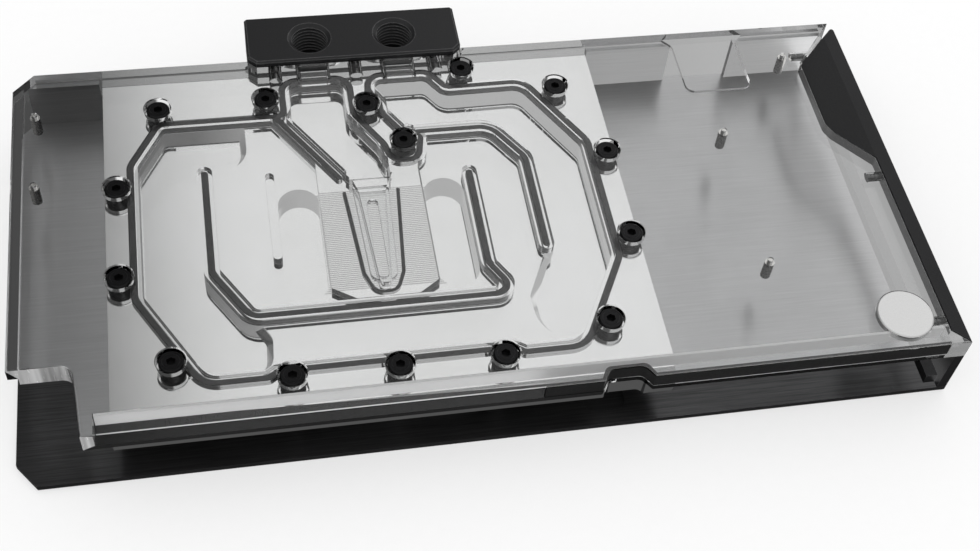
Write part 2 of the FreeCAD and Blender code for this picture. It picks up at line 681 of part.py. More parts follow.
def seal_path(px, y):
    half_w = 7.4
    half_h = 2.2
    z0 = WINDOW_Z - half_h
    z1 = WINDOW_Z + half_h
    right = Part.Arc(vec(px + half_w - half_h, y, z0), vec(px + half_w, y, WINDOW_Z),
                     vec(px + half_w - half_h, y, z1)).toShape()
    left = Part.Arc(vec(px - half_w + half_h, y, z1), vec(px - half_w, y, WINDOW_Z),
                    vec(px - half_w + half_h, y, z0)).toShape()
    top = Part.LineSegment(vec(px + half_w - half_h, y, z1), vec(px - half_w + half_h, y, z1)).toShape()
    low = Part.LineSegment(vec(px - half_w + half_h, y, z0), vec(px + half_w - half_h, y, z0)).toShape()
    return Part.Wire([low, right, top, left])


def seal_groove(px):
    """Groove of the oval face seal in the front face of the terminal."""
    path = seal_path(px, TERM_Y0 - 1)
    half = SEAL_CORD_R + 0.07
    outer = Part.Face(path.makeOffset2D(half, 0, False, False))
    inner = Part.Face(path.makeOffset2D(-half, 0, False, False))
    return outer.cut(inner).extrude(vec(0, 1 + 2 * SEAL_CORD_R - GAP, 0))


def make_terminal_seals():
    """Oval face seals between the terminal and the clear top."""
    solids = []
    radius = SEAL_CORD_R
    for px in (PORT_X0, PORT_X0 + PORT_PITCH):
        path = seal_path(px, TERM_Y0 - GAP + radius)
        start = path.OrderedEdges[0].valueAt(path.OrderedEdges[0].FirstParameter)
        ring = Part.Wire(Part.makeCircle(radius, start, vec(1, 0, 0)))
        solids.append(path.makePipeShell([ring], True, True))
    return Part.makeCompound(solids)


def socket_screw(x, y, z_seat, head_r, head_h, shank_r, length, key):
    """Upright low head screw with a hex socket, seated at z_seat."""
    head = cyl(x, y, z_seat, z_seat + head_h, head_r)
    rim = [e for e in head.Edges if e.BoundBox.ZMin > z_seat + head_h - 0.01]
    head = head.makeChamfer(0.35, rim)
    shank = cyl(x, y, z_seat - length, z_seat + 0.5, shank_r)
    tip = [e for e in shank.Edges if e.BoundBox.ZMax < z_seat - length + 0.01]
    shank = shank.makeChamfer(0.4, tip)
    key_hole = hexagon(x, y, z_seat + head_h - HEX_DEPTH, z_seat + head_h + 1, key)
    ring = cyl(x, y, z_seat + head_h - 0.12, z_seat + head_h + 1, head_r * 0.72)
    ring = ring.cut(cyl(x, y, z_seat, z_seat + head_h + 2, head_r * 0.66))
    return head.fuse(shank).cut([key_hole, ring])


def make_top_screws():
    solids = []
    seat = TOP_Z - HEAD_SINK - HEAD_H
    for x, y in SCREW_SPOTS:
        length = seat - (PLATE_Z + 0.4)
        solids.append(socket_screw(x, y, seat, HEAD_R, HEAD_H, SHANK_R, length, HEX_KEY))
    return Part.makeCompound(solids)


def side_screw(spot, axis, head_r, head_h, shank_r, length, key, flat):
    """Screw turned to any axis: head top at spot, shank running along the axis."""
    if flat:
        head = Part.makeCone(shank_r, head_r, head_r - shank_r, vec(0, 0, -(head_r - shank_r)))
    else:
        head = cyl(0, 0, -head_h, 0, head_r)
    shank = cyl(0, 0, -length, -0.6, shank_r)
    key_hole = hexagon(0, 0, -min(1.2, head_h), 1, key)
    screw = head.fuse(shank).cut(key_hole)
    screw.Placement = FreeCAD.Placement(spot, FreeCAD.Rotation(vec(0, 0, -1), axis))
    return screw


def make_terminal_screws():
    solids = []
    for x in terminal_screw_x():
        spot = vec(x, TOTAL_Y - TERM_HEAD_SINK, TERM_SCREW_Z)
        length = TOTAL_Y - TERM_HEAD_SINK - (TERM_Y0 - GAP) + INSERT_L - 0.6
        solids.append(side_screw(spot, vec(0, -1, 0), TERM_HEAD_R, TERM_HEAD_H, TERM_SCREW_R, length,
                                 HEX_KEY, False))
    return Part.makeCompound(solids)


def insert_body(spot, axis, outer_r, hole_r):
    sleeve = Part.makeCylinder(outer_r, INSERT_L, spot, axis)
    hole = Part.makeCylinder(hole_r, INSERT_L + 2, spot - axis, axis)
    waist = Part.makeCylinder(outer_r + 1, 0.8, spot + axis * 1.8, axis)
    waist = waist.cut(Part.makeCylinder(outer_r - 0.25, 0.8, spot + axis * 1.8, axis))
    return sleeve.cut([hole, waist])


def make_terminal_inserts():
    solids = []
    for x in terminal_screw_x():
        spot = vec(x, TERM_Y0 - GAP - INSERT_L, TERM_SCREW_Z)
        solids.append(insert_body(spot, vec(0, 1, 0), INSERT_R, TERM_SCREW_R + THREAD_GAP))
    return Part.makeCompound(solids)


def make_cover_inserts():
    solids = []
    for y in COVER_SCREW_Y:
        spot = vec(cover_bore_start(y), y, COVER_SCREW_Z)
        solids.append(insert_body(spot, vec(1, 0, 0), COVER_INSERT_R, COVER_SCREW_R + THREAD_GAP))
    return Part.makeCompound(solids)


def make_end_cover():
    """Black end cover: top flange with its wider sloped part, and the side wall."""
    contour = right_contour(0)
    outline = contour + [(LENGTH, BODY_Y - TIP_Y + FACET_W, 0.8), (LENGTH, 0.0)]
    flange = bevelled(prism(outline, TOP_Z - FLANGE_T, TOP_Z), TOP_Z)
    # the wide part falls gently towards the clear top
    x0 = FACET_X - 1
    x1 = LENGTH - STRIP_W
    drop = FACET_DROP * (x1 - x0) / (x1 - FACET_X)
    y0 = FACET_Y - 23.6
    side = Part.makePolygon([vec(x0, y0, TOP_Z - drop), vec(x1, y0, TOP_Z), vec(x1, y0, TOP_Z + 1),
                             vec(x0, y0, TOP_Z + 1), vec(x0, y0, TOP_Z - drop)])
    flange = flange.cut(Part.Face(side).extrude(vec(0, BODY_Y + 3 - y0, 0)))
    # solid skirt behind the flange down to the level of the seal
    skirt = prism(outline, SEAL_Z, TOP_Z - FLANGE_T)
    wall = box(LENGTH - WALL_T, LENGTH, 0, BODY_Y, BACKPLATE_T, SEAL_Z - GAP)
    ledge = box(LENGTH - STRIP_W - 2, LENGTH - WALL_T + 1, 2, BODY_Y - 2, BACKPLATE_T, BACKPLATE_T + 3.5)
    joint = box(LENGTH - WALL_T, LENGTH, 6, BODY_Y - 7, SEAL_Z - 1, SEAL_Z + 1)
    body = flange.fuse([skirt, wall.fuse(joint), ledge])
    cuts = [box(LENGTH - WALL_T - 8, LENGTH - WALL_T, 4, BODY_Y - 4, SEAL_Z - 3, SEAL_Z - 0.001)]
    # hollow under the wide part
    hx0 = FACET_X + 3.3
    hx1 = LENGTH - 4.4
    hollow = prism([(hx0, FACET_Y + 4.4, 2), (hx1, FACET_Y - 3.6, 2), (hx1, BODY_Y - 9.4, 2),
                    (hx0, BODY_Y - TIP_Y, 2)], SEAL_Z - 1, TOP_Z - FLANGE_T)
    cuts.append(hollow.common(box(hx0 - 1, hx1 + 1, BODY_Y - 28, BODY_Y, SEAL_Z - 2, TOP_Z)))
    for y in COVER_SCREW_Y:
        cuts.append(cyl_along(vec(1, 0, 0), FACET_X - 2, y, COVER_SCREW_Z, COVER_SCREW_R + GAP,
                              FACET_W + 4))
        depth = COVER_HEAD_R - COVER_SCREW_R
        spot = vec(LENGTH - depth - GAP, y, COVER_SCREW_Z)
        cuts.append(Part.makeCone(COVER_SCREW_R, COVER_HEAD_R, depth, spot, vec(1, 0, 0)))
        cuts.append(cyl_along(vec(1, 0, 0), LENGTH - GAP, y, COVER_SCREW_Z, COVER_HEAD_R, 1))
    for y in BACK_SCREW_Y:
        cuts.append(cyl(BACK_SCREW_X, y, BACKPLATE_T - 1, BACKPLATE_T + 3.0, BACK_SCREW_R + THREAD_GAP))
    return body.cut(cuts).removeSplitter()


def make_cover_screws():
    solids = []
    for y in COVER_SCREW_Y:
        spot = vec(LENGTH - GAP, y, COVER_SCREW_Z)
        length = LENGTH - GAP - cover_bore_start(y) - 0.6
        solids.append(side_screw(spot, vec(-1, 0, 0), COVER_HEAD_R, 1.0, COVER_SCREW_R, length, 1.5, True))
    return Part.makeCompound(solids)


def make_backplate():
    """Backplate with two cut corners, a turned-up back edge, pockets and countersunk holes."""
    outline = [(FRONT_CUT_X - BACK_LIP, 0), (LENGTH, 0), (LENGTH, BODY_Y),
               (CORNER_CUT_X - BACK_LIP, BODY_Y), (-BACK_LIP, BODY_Y - CORNER_CUT_Y),
               (-BACK_LIP, FRONT_CUT_Y)]
    body = bevelled(prism(outline, 0, BACKPLATE_T), 0)
    body = body.fuse(back_rim()).removeSplitter()
    floor = BACKPLATE_T - SMALL_POCKET_DEPTH
    y0 = POCKET_Y - LONG_POCKET_HALF
    y1 = POCKET_Y + LONG_POCKET_HALF
    main_x0 = AXIS_X - MAIN_POCKET_HALF
    main_x1 = AXIS_X + MAIN_POCKET_HALF
    main_y0 = FIN_Y0 - 7.7
    main_y1 = FIN_Y1 + 11.1
    cuts = [
        cyl(ROUND_POCKET_X, POCKET_Y, floor, BACKPLATE_T + 1, ROUND_POCKET_R),
        prism([(LONG_POCKET_X0, y0, 3), (LONG_POCKET_X1, y0, 3), (LONG_POCKET_X1, y1, 3),
               (LONG_POCKET_X0, y1, 3)], floor, BACKPLATE_T + 1),
        prism([(main_x0, main_y0, 4), (main_x1, main_y0, 4), (main_x1, main_y1, 4),
               (main_x0, main_y1, 4)], BACKPLATE_T - MAIN_POCKET_DEPTH, BACKPLATE_T + 1),
    ]
    for x, y in plate_spacer_spots():
        cuts.append(cyl(x, y, -1, BACKPLATE_T + 1, BOARD_HOLE_R))
        cuts.append(Part.makeCone(BOARD_HOLE_R + 1.0, BOARD_HOLE_R, 1.0, vec(x, y, 0)))
    wide = BACK_HEAD_R + 0.1
    narrow = BACK_SCREW_R + GAP
    for y in BACK_SCREW_Y:
        cuts.append(cyl(BACK_SCREW_X, y, -1, BACKPLATE_T + 1, narrow))
        cuts.append(Part.makeCone(wide, narrow, wide - narrow, vec(BACK_SCREW_X, y, 0)))
    return body.cut(cuts)


def back_rim():
    """Turned-up back edge: low behind the cold plate, open at the power socket."""
    y0 = BODY_Y - RIM_T
    x1 = LENGTH - WALL_T - GAP
    low = PLATE_Z - RIM_GAP
    high = SEAL_Z - RIM_GAP
    rim = box(RIM_X0, x1, y0, BODY_Y, BACKPLATE_T - 1, high)
    above_plate = box(PLATE_X0 - 1, PLATE_X1 + 1, y0 - 1, BODY_Y + 1, low, high + 1)
    socket = box(RECESS_X0, RECESS_X1, y0 - 1, BODY_Y + 1, BACKPLATE_T, high + 1)
    corner = prism([(-5, BODY_Y - CORNER_CUT_Y), (-BACK_LIP, BODY_Y - CORNER_CUT_Y),
                    (CORNER_CUT_X - BACK_LIP, BODY_Y), (CORNER_CUT_X, BODY_Y + 5), (-5, BODY_Y + 5)],
                   0, high + 1)
    return rim.cut([above_plate, socket, corner])


def make_backplate_screws():
    solids = []
    for y in BACK_SCREW_Y:
        spot = vec(BACK_SCREW_X, y, 0.1)
        length = BACKPLATE_T + 2.4
        solids.append(side_screw(spot, vec(0, 0, 1), BACK_HEAD_R, 1.0, BACK_SCREW_R, length, 1.5, True))
    return Part.makeCompound(solids)


def make_badge():
    """Satin disc with a fine edge bevel."""
    disc = cyl(BADGE_X, BADGE_Y, TOP_Z - BADGE_T, TOP_Z + BADGE_PROUD, BADGE_R)
    rim = [e for e in disc.Edges if e.BoundBox.ZMin > TOP_Z + BADGE_PROUD - 0.01]
    disc = disc.makeChamfer(0.3, rim)
    return disc


def make_light_strip():
    """White light strip standing against the back wall of the front groove."""
    ceiling = TOP_Z - GROOVE_CEIL
    x0 = GROOVE_X0 + STRIP_GAP
    x1 = GROOVE_X1 - STRIP_GAP
    strip = box(x0, x1, GROOVE_Y - STRIP_T, GROOVE_Y, ceiling - GROOVE_H, ceiling)
    return strip.cut(badge_seat(STRIP_GAP + GAP))


def make_light_shade():
    """Black strip that closes the right part of the front groove and follows the notch."""
    ceiling = TOP_Z - GROOVE_CEIL
    floor = ceiling - GROOVE_H
    outer = SHADE_SET + SHADE_T
    strip = box(SHADE_X0, GROOVE_X1, SHADE_SET, outer, floor, ceiling)
    strip = strip.fuse(front_notch(outer, floor, ceiling)).removeSplitter()
    front = box(SHADE_X0 - 1, GROOVE_X1 + 1, -9, SHADE_SET, floor - 1, ceiling + 1)
    return strip.cut([front_notch(SHADE_SET, floor - 1, ceiling + 1), front])


def ring_band(half, z0, z1):
    """Closed upright band of even width along the outer gasket run."""
    outer = rounded_wire(OUTER_RUN, z0)
    ring_out = Part.Face(outer.makeOffset2D(half, 0, False, False))
    ring_in = Part.Face(outer.makeOffset2D(-half, 0, False, False))
    return ring_out.cut(ring_in).extrude(vec(0, 0, z1 - z0))


def gasket(run, half, height, bevel):
    """Moulded rubber cord with a flat seat and broken upper edges."""
    top = SEAL_Z + height
    return bevelled(band(run, half, SEAL_Z, top), top, bevel)


def make_main_gasket():
    top = SEAL_Z + GASKET_H
    ring = bevelled(ring_band(GASKET_HALF, SEAL_Z, top), top, GASKET_BEVEL)
    branches = [gasket(run, GASKET_HALF, GASKET_H, GASKET_BEVEL) for run in (INLET_RUN, RETURN_RUN)]
    return ring.fuse(branches).removeSplitter()


def make_inner_gasket():
    return gasket(INNER_RUN, GASKET_HALF, GASKET_H, GASKET_BEVEL)


def make_jet_gasket():
    return gasket(JET_RUN, THIN_GASKET_HALF, THIN_GASKET_H, THIN_GASKET_BEVEL)


PIECES = {
    "backplate": make_backplate,
    "cold_plate": make_cold_plate,
    "clear_top": make_clear_top,
    "jet_plate": make_jet_plate,
    "main_gasket": make_main_gasket,
    "inner_gasket": make_inner_gasket,
    "jet_gasket": make_jet_gasket,
    "terminal_block": make_terminal,
    "terminal_seals": make_terminal_seals,
    "terminal_inserts": make_terminal_inserts,
    "terminal_screws": make_terminal_screws,
    "top_screws": make_top_screws,
    "end_cover": make_end_cover,
    "cover_inserts": make_cover_inserts,
    "cover_screws": make_cover_screws,
    "backplate_screws": make_backplate_screws,
    "end_spacers": make_end_spacers,
    "plate_spacers": make_plate_spacers,
    "badge_disc": make_badge,
    "light_strip": make_light_strip,
    "light_shade": make_light_shade,
}

for name, maker in PIECES.items():
    shape = maker()
    shape.translate(vec((BACK_LIP - LENGTH) / 2, -TOTAL_Y / 2, 0))
    shape.exportStep("parts/" + name + ".step")
    print(name, shape.isValid(), len(shape.Solids), round(shape.Volume, 1))
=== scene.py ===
# %% [markdown]
# This lesson dresses a liquid cooling cold plate for a picture: a nickel plate under a clear acrylic
# top, with rubber cords in its channels, a black terminal, an end cover and a backplate. The solids
# come from the CAD model, already at their real size. Blender adds what the eye reads as material:
# brushed grain, satin nickel, polished acrylic, rubber, and the light of a small studio.

# %% setup
import math

import bmesh
import bpy
from mathutils import Matrix, Vector
from mathutils.geometry import intersect_point_line


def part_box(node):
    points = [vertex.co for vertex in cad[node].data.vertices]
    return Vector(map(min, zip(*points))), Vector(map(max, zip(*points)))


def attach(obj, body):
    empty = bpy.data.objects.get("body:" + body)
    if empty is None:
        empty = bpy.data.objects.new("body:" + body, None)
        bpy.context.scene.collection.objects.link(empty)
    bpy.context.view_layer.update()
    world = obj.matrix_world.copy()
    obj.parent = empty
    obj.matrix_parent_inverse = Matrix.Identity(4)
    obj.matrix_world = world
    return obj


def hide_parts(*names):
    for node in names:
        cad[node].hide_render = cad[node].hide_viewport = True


MM = 0.001
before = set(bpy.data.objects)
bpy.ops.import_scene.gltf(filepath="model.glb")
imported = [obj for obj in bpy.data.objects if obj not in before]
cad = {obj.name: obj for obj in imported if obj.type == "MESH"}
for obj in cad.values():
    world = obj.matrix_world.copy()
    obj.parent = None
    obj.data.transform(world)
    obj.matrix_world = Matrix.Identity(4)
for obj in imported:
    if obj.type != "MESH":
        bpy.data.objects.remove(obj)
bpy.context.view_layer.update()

# %% [markdown]
# Materials are made of small building blocks. One helper gives a socket its value or its link, one
# adds a node and fills its sockets, and one places a shared effect. With them every finish below stays
# a short list of what it is made of.


# %% helpers for nodes
def connect(tree, value, socket):
    """Links a socket to another node's output, or gives it a plain number or colour."""
    if isinstance(value, bpy.types.NodeSocket):
        tree.links.new(value, socket)
    elif socket.type == "RGBA" and len(value) == 3:
        socket.default_value = (*value, 1)
    else:
        socket.default_value = value


def add(tree, kind, settings=None, **values):
    """Adds one node; settings are its own properties, values go to its input sockets."""
    node = tree.nodes.new(kind)
    for key, value in (settings or {}).items():
        setattr(node, key, value)
    for key, value in values.items():
        connect(tree, value, node.inputs[key.replace("_", " ")])
    return node


def effect(tree, group, **values):
    """Places a shared effect in a material with its own values."""
    return add(tree, "ShaderNodeGroup", {"node_tree": group}, **values)


print("helpers", connect.__name__, add.__name__, effect.__name__)

# %% [markdown]
# The next helpers do sums and mixes. A ramp spreads a mask between two numbers or two colours, which
# is how a noise becomes a slight change of tone or gloss instead of a pattern of black and white.


# %% helpers for sums and mixes
def calculate(tree, operation, first, second, clamp=False):
    """A sum on two numbers."""
    node = add(tree, "ShaderNodeMath", {"operation": operation, "use_clamp": clamp})
    connect(tree, first, node.inputs[0])
    connect(tree, second, node.inputs[1])
    return node.outputs[0]


def is_colour(value):
    return isinstance(value, tuple) or getattr(value, "type", None) == "RGBA"


def blend(tree, share, low, high):
    """Mixes two numbers, or two colours if one of them is a colour."""
    if is_colour(low) or is_colour(high):
        data_type, first, out = "RGBA", 6, 2
    else:
        data_type, first, out = "FLOAT", 2, 0
    node = add(tree, "ShaderNodeMix", {"data_type": data_type})
    connect(tree, share, node.inputs[0])
    connect(tree, low, node.inputs[first])
    connect(tree, high, node.inputs[first + 1])
    return node.outputs[out]


def ramp(tree, value, low, high):
    """Spreads a 0 to 1 value between two numbers or two colours."""
    if is_colour(low):
        return blend(tree, value, low, high)
    return add(tree, "ShaderNodeMapRange", Value=value, To_Min=low, To_Max=high).outputs["Result"]


print("helpers", calculate.__name__, blend.__name__, ramp.__name__)

# %% [markdown]
# A material starts with one shader. Its relief comes from a bump: a height that changes over the
# surface tilts the light, without moving the mesh. Distances are in metres, so a machined finish has a
# bump of a few hundredths of a millimetre at most.


# %% helpers for materials
WHITE = (1, 1, 1)


def new_material(name):
    material = bpy.data.materials.new(name)
    material.use_nodes = True
    tree = material.node_tree
    tree.nodes.clear()
    shader = tree.nodes.new("ShaderNodeBsdfPrincipled")
    output = tree.nodes.new("ShaderNodeOutputMaterial")
    tree.links.new(shader.outputs["BSDF"], output.inputs["Surface"])
    return material, tree, shader


def bump(tree, shader, height, distance, strength):
    node = add(tree, "ShaderNodeBump", Height=height, Strength=strength, Distance=distance)
    connect(tree, node.outputs["Normal"], shader.inputs["Normal"])


def painted_glow(tree, shader, strength):
    """Painted glow: white light of the surface itself, though it is no lamp, with a strength that
    changes from place to place.
    """
    connect(tree, WHITE, shader.inputs["Emission Color"])
    connect(tree, strength, shader.inputs["Emission Strength"])


print("helpers", new_material.__name__, bump.__name__, painted_glow.__name__)

# %% [markdown]
# Some effects depend on where a point lies, on where its surface looks, or on the kind of ray that
# meets it. The renderer counts a ray that went through clear plastic as glossy too, so a ray that was
# truly mirrored is one that is glossy and didn't pass through.


# %% helpers for place, facing and rays
def along(tree, axis, start, stop, low, high, space="Object", smooth=False):
    """A number that goes from low at start to high at stop, measured along one axis."""
    place = add(tree, "ShaderNodeTexCoord")
    axes = add(tree, "ShaderNodeSeparateXYZ", Vector=place.outputs[space])
    kind = {"interpolation_type": "SMOOTHSTEP" if smooth else "LINEAR"}
    node = add(tree, "ShaderNodeMapRange", kind, Value=axes.outputs[axis], From_Min=start,
               From_Max=stop, To_Min=low, To_Max=high)
    return node.outputs["Result"]


def facing(tree, axis):
    """How much the true surface looks along one axis, from -1 to 1."""
    surface = add(tree, "ShaderNodeNewGeometry")
    return add(tree, "ShaderNodeSeparateXYZ", Vector=surface.outputs["True Normal"]).outputs[axis]


def rays(tree):
    return add(tree, "ShaderNodeLightPath").outputs


def mirrored_ray(tree):
    """1 for a ray that was mirrored last, 0 for one seen directly or through the acrylic."""
    path = rays(tree)
    return calculate(tree, "SUBTRACT", path["Is Glossy Ray"], path["Is Transmission Ray"], clamp=True)


print("helpers", along.__name__, facing.__name__, rays.__name__, mirrored_ray.__name__)

# %% [markdown]
# A shared effect is a node group: one recipe with named inputs, used by many materials with their own
# numbers. Grain is the simplest. It is noise in the piece's own coordinates, which can be stretched
# along one axis, so the same group gives a cast-like speckle or long soft streaks.


# %% group helper and grain
FLOAT = "NodeSocketFloat"
VECTOR = "NodeSocketVector"


def new_group(name, inputs, outputs):
    group = bpy.data.node_groups.new(name, "ShaderNodeTree")
    for label, kind, value in inputs:
        socket = group.interface.new_socket(label, in_out="INPUT", socket_type=kind)
        socket.default_value = value
    for label in outputs:
        group.interface.new_socket(label, in_out="OUTPUT", socket_type=FLOAT)
    start = group.nodes.new("NodeGroupInput")
    end = group.nodes.new("NodeGroupOutput")
    return group, start.outputs, end.inputs


def make_grain():
    group, start, end = new_group(
        "grain", [("Scale", FLOAT, 900.0), ("Stretch", VECTOR, (1, 1, 1)), ("Detail", FLOAT, 4.0)],
        ["Value"])
    place = add(group, "ShaderNodeTexCoord")
    stretched = add(group, "ShaderNodeVectorMath", {"operation": "MULTIPLY"})
    connect(group, place.outputs["Object"], stretched.inputs[0])
    connect(group, start["Stretch"], stretched.inputs[1])
    noise = add(group, "ShaderNodeTexNoise", Roughness=0.6, Vector=stretched.outputs[0],
                Scale=start["Scale"], Detail=start["Detail"])
    spread = add(group, "ShaderNodeMapRange", From_Min=0.3, From_Max=0.7, Value=noise.outputs["Fac"])
    connect(group, spread.outputs["Result"], end["Value"])
    return group


grain = make_grain()
print("group", grain.name, "with", len(grain.nodes), "nodes")

# %% [markdown]
# A brushed finish is a bundle of hair-fine scratches that all run one way. Two stretched noises of
# different pitch are laid over each other: the coarse one carries the tone that the eye sees from a
# step away, the fine one breaks up the gloss. Both outputs change only across the brushing.


# %% brushed lines
FINE_TO_COARSE = 3.7


def make_brushed():
    group, start, end = new_group(
        "brushed", [("Pitch", FLOAT, 900.0), ("Length", FLOAT, 0.03), ("Fine", FLOAT, 0.4)],
        ["Tone", "Height"])
    place = add(group, "ShaderNodeTexCoord")
    axes = add(group, "ShaderNodeSeparateXYZ", Vector=place.outputs["Object"]).outputs
    length = calculate(group, "MULTIPLY", axes["X"], start["Length"])
    drawn = add(group, "ShaderNodeCombineXYZ", X=length, Y=axes["Y"], Z=axes["Z"]).outputs[0]
    coarse = add(group, "ShaderNodeTexNoise", Detail=2.0, Roughness=0.7, Vector=drawn,
                 Scale=start["Pitch"])
    finer = calculate(group, "MULTIPLY", start["Pitch"], FINE_TO_COARSE)
    fine = add(group, "ShaderNodeTexNoise", Detail=3.0, Roughness=0.75, Vector=drawn, Scale=finer)
    both = blend(group, start["Fine"], coarse.outputs["Fac"], fine.outputs["Fac"])
    spread = add(group, "ShaderNodeMapRange", From_Min=0.32, From_Max=0.68, Value=both)
    connect(group, spread.outputs["Result"], end["Tone"])
    connect(group, fine.outputs["Fac"], end["Height"])
    return group


brushed = make_brushed()
print("group", brushed.name, "with", len(brushed.nodes), "nodes")

# %% [markdown]
# Machined edges are never razor sharp, and anodising rubs thin on them first. The edge effect compares
# the true surface direction with one that is rounded over a small radius. Where they differ there is
# an edge, and a little noise keeps the line from looking drawn. The lighter colour that the materials
# give this mask is partly wear and partly a painted highlight along the edges.


# %% edge wear
def make_edges():
    group, start, end = new_group(
        "edge_wear_and_highlight", [("Radius", FLOAT, 0.0003), ("Patchiness", FLOAT, 0.4)], ["Mask"])
    rounded = add(group, "ShaderNodeBevel", {"samples": 4}, Radius=start["Radius"])
    true = add(group, "ShaderNodeNewGeometry")
    agree = add(group, "ShaderNodeVectorMath", {"operation": "DOT_PRODUCT"})
    connect(group, rounded.outputs["Normal"], agree.inputs[0])
    connect(group, true.outputs["Normal"], agree.inputs[1])
    edge = add(group, "ShaderNodeMapRange", From_Min=0.99, From_Max=0.85, Value=agree.outputs["Value"])
    place = add(group, "ShaderNodeTexCoord")
    noise = add(group, "ShaderNodeTexNoise", Scale=420.0, Detail=4.0, Vector=place.outputs["Object"])
    patch = calculate(group, "MULTIPLY", noise.outputs["Fac"], start["Patchiness"])
    edge_mask = calculate(group, "SUBTRACT", edge.outputs["Result"], patch, clamp=True)
    connect(group, edge_mask, end["Mask"])
    return group


edge_wear_and_highlight = make_edges()
print("group", edge_wear_and_highlight.name, "with", len(edge_wear_and_highlight.nodes), "nodes")

# %% [markdown]
# A milled surface keeps the path of its cutter: faint parallel arcs a fraction of a millimetre apart.
# Bands from a wave texture, bent slightly by noise, give that path. The nickel keeps it as a hint in
# its gloss, and the acrylic channels keep it as haze.


# %% cutter marks
def make_cutter_marks():
    group, start, end = new_group(
        "cutter_marks", [("Pitch", FLOAT, 500.0), ("Wander", FLOAT, 1.5)], ["Tone", "Height"])
    place = add(group, "ShaderNodeTexCoord").outputs["Object"]
    wave = add(group, "ShaderNodeTexWave", {"wave_type": "BANDS", "bands_direction": "DIAGONAL"},
               Vector=place, Scale=start["Pitch"], Distortion=start["Wander"], Detail=3.0,
               Detail_Scale=1.2)
    cloud = add(group, "ShaderNodeTexNoise", Vector=place, Scale=60.0, Detail=3.0)
    tone = calculate(group, "MULTIPLY", wave.outputs["Fac"], cloud.outputs["Fac"])
    connect(group, tone, end["Tone"])
    connect(group, wave.outputs["Fac"], end["Height"])
    return group


cutter_marks = make_cutter_marks()
print("group", cutter_marks.name, "with", len(cutter_marks.nodes), "nodes")

# %% [markdown]
# The backplate is anodised aluminium, brushed along its length before it was dyed. The metal shows
# through the dye as a dark sheen that swings from nearly black to mid grey with the light, so the
# material is a metal with a dark base and a fairly wide gloss. Through the acrylic the same plate
# looks mid grey, and its turned-up back edge is a pale line. One soft sky doesn't give both tones, so
# both are painted: a ray that came through the acrylic meets a painted, paler sheen on the metal, and
# a painted glow on the edge's front.

# %% backplate aluminium
RIM_FACING = -0.5
PAINTED_RIM_GLOW = (-110 * MM, 60 * MM, 0.0, 0.27)


def make_backplate_black():
    material, tree, shader = new_material("backplate_aluminium")
    lines = effect(tree, brushed, Pitch=1500.0, Length=0.02, Fine=0.45).outputs
    cloud = effect(tree, grain, Scale=40.0, Detail=3.0)
    edges = effect(tree, edge_wear_and_highlight, Radius=0.0002, Patchiness=0.7)
    through = rays(tree)["Is Transmission Ray"]
    dyed = ramp(tree, lines["Tone"], (0.05, 0.05, 0.051), (0.11, 0.11, 0.112))
    # Edge colour: wear and a painted highlight.
    wear_and_highlight = blend(tree, edges.outputs["Mask"], dyed, (0.2, 0.2, 0.202))
    # Painted sheen: a ray through the acrylic sees a paler copy of the metal.
    painted_sheen_through_acrylic = ramp(tree, lines["Tone"], (0.49, 0.49, 0.495), (0.59, 0.59, 0.595))
    connect(tree, blend(tree, through, wear_and_highlight, painted_sheen_through_acrylic), shader.inputs["Base Color"])
    connect(tree, ramp(tree, cloud.outputs["Value"], 0.3, 0.36), shader.inputs["Roughness"])
    shader.inputs["Metallic"].default_value = 0.95
    shader.inputs["Anisotropic"].default_value = 0.8
    across = add(tree, "ShaderNodeCombineXYZ", Y=1.0)
    connect(tree, across.outputs["Vector"], shader.inputs["Tangent"])
    # Painted glow on the front of the turned-up back edge, seen through the acrylic.
    rim = calculate(tree, "LESS_THAN", facing(tree, "Y"), RIM_FACING)
    seen = calculate(tree, "MULTIPLY", rim, through)
    painted_glow(tree, shader, calculate(tree, "MULTIPLY", seen, along(tree, "X", *PAINTED_RIM_GLOW)))
    bump(tree, shader, lines["Height"], 0.00002, 0.35)
    return material


backplate_black = make_backplate_black()
print("material", backplate_black.name)

# %% [markdown]
# The end cover is the same metal with a blasted, matt black coat. Here the grain is a fine speckle
# without direction, and the edges show as thin, slightly lighter lines of wear and painted highlight.
# Where the cover is mirrored in the clear and bright parts beside it, or seen through them, it reads as
# pale in the photograph, so those rays meet a painted glow of its own: strongest low on the cover in a
# mirror, weaker through acrylic.

# %% end cover coat
COVER_GLOW_MIRRORED = (15 * MM, 18 * MM, 0.85, 0.5)
COVER_GLOW_THROUGH = 0.33


def make_cover_black():
    material, tree, shader = new_material("cover_black")
    speck = effect(tree, grain, Scale=2600.0, Detail=5.0).outputs["Value"]
    cloud = effect(tree, grain, Scale=35.0, Detail=2.0)
    edges = effect(tree, edge_wear_and_highlight, Radius=0.00025, Patchiness=0.5)
    tone = ramp(tree, speck, (0.016, 0.016, 0.017), (0.026, 0.026, 0.027))
    # Edge colour: wear and a painted highlight.
    wear_and_highlight = blend(tree, edges.outputs["Mask"], tone, (0.12, 0.12, 0.125))
    connect(tree, wear_and_highlight, shader.inputs["Base Color"])
    connect(tree, ramp(tree, cloud.outputs["Value"], 0.42, 0.5), shader.inputs["Roughness"])
    shader.inputs["Metallic"].default_value = 0.6
    # Painted glow for mirrored rays and for rays through the acrylic.
    path = rays(tree)
    mirrored = along(tree, "Z", *COVER_GLOW_MIRRORED)
    strength = blend(tree, path["Is Transmission Ray"], mirrored, COVER_GLOW_THROUGH)
    painted_glow(tree, shader, calculate(tree, "MULTIPLY", path["Is Glossy Ray"], strength))
    bump(tree, shader, speck, 0.00002, 0.3)
    return material


cover_black = make_cover_black()
print("material", cover_black.name)

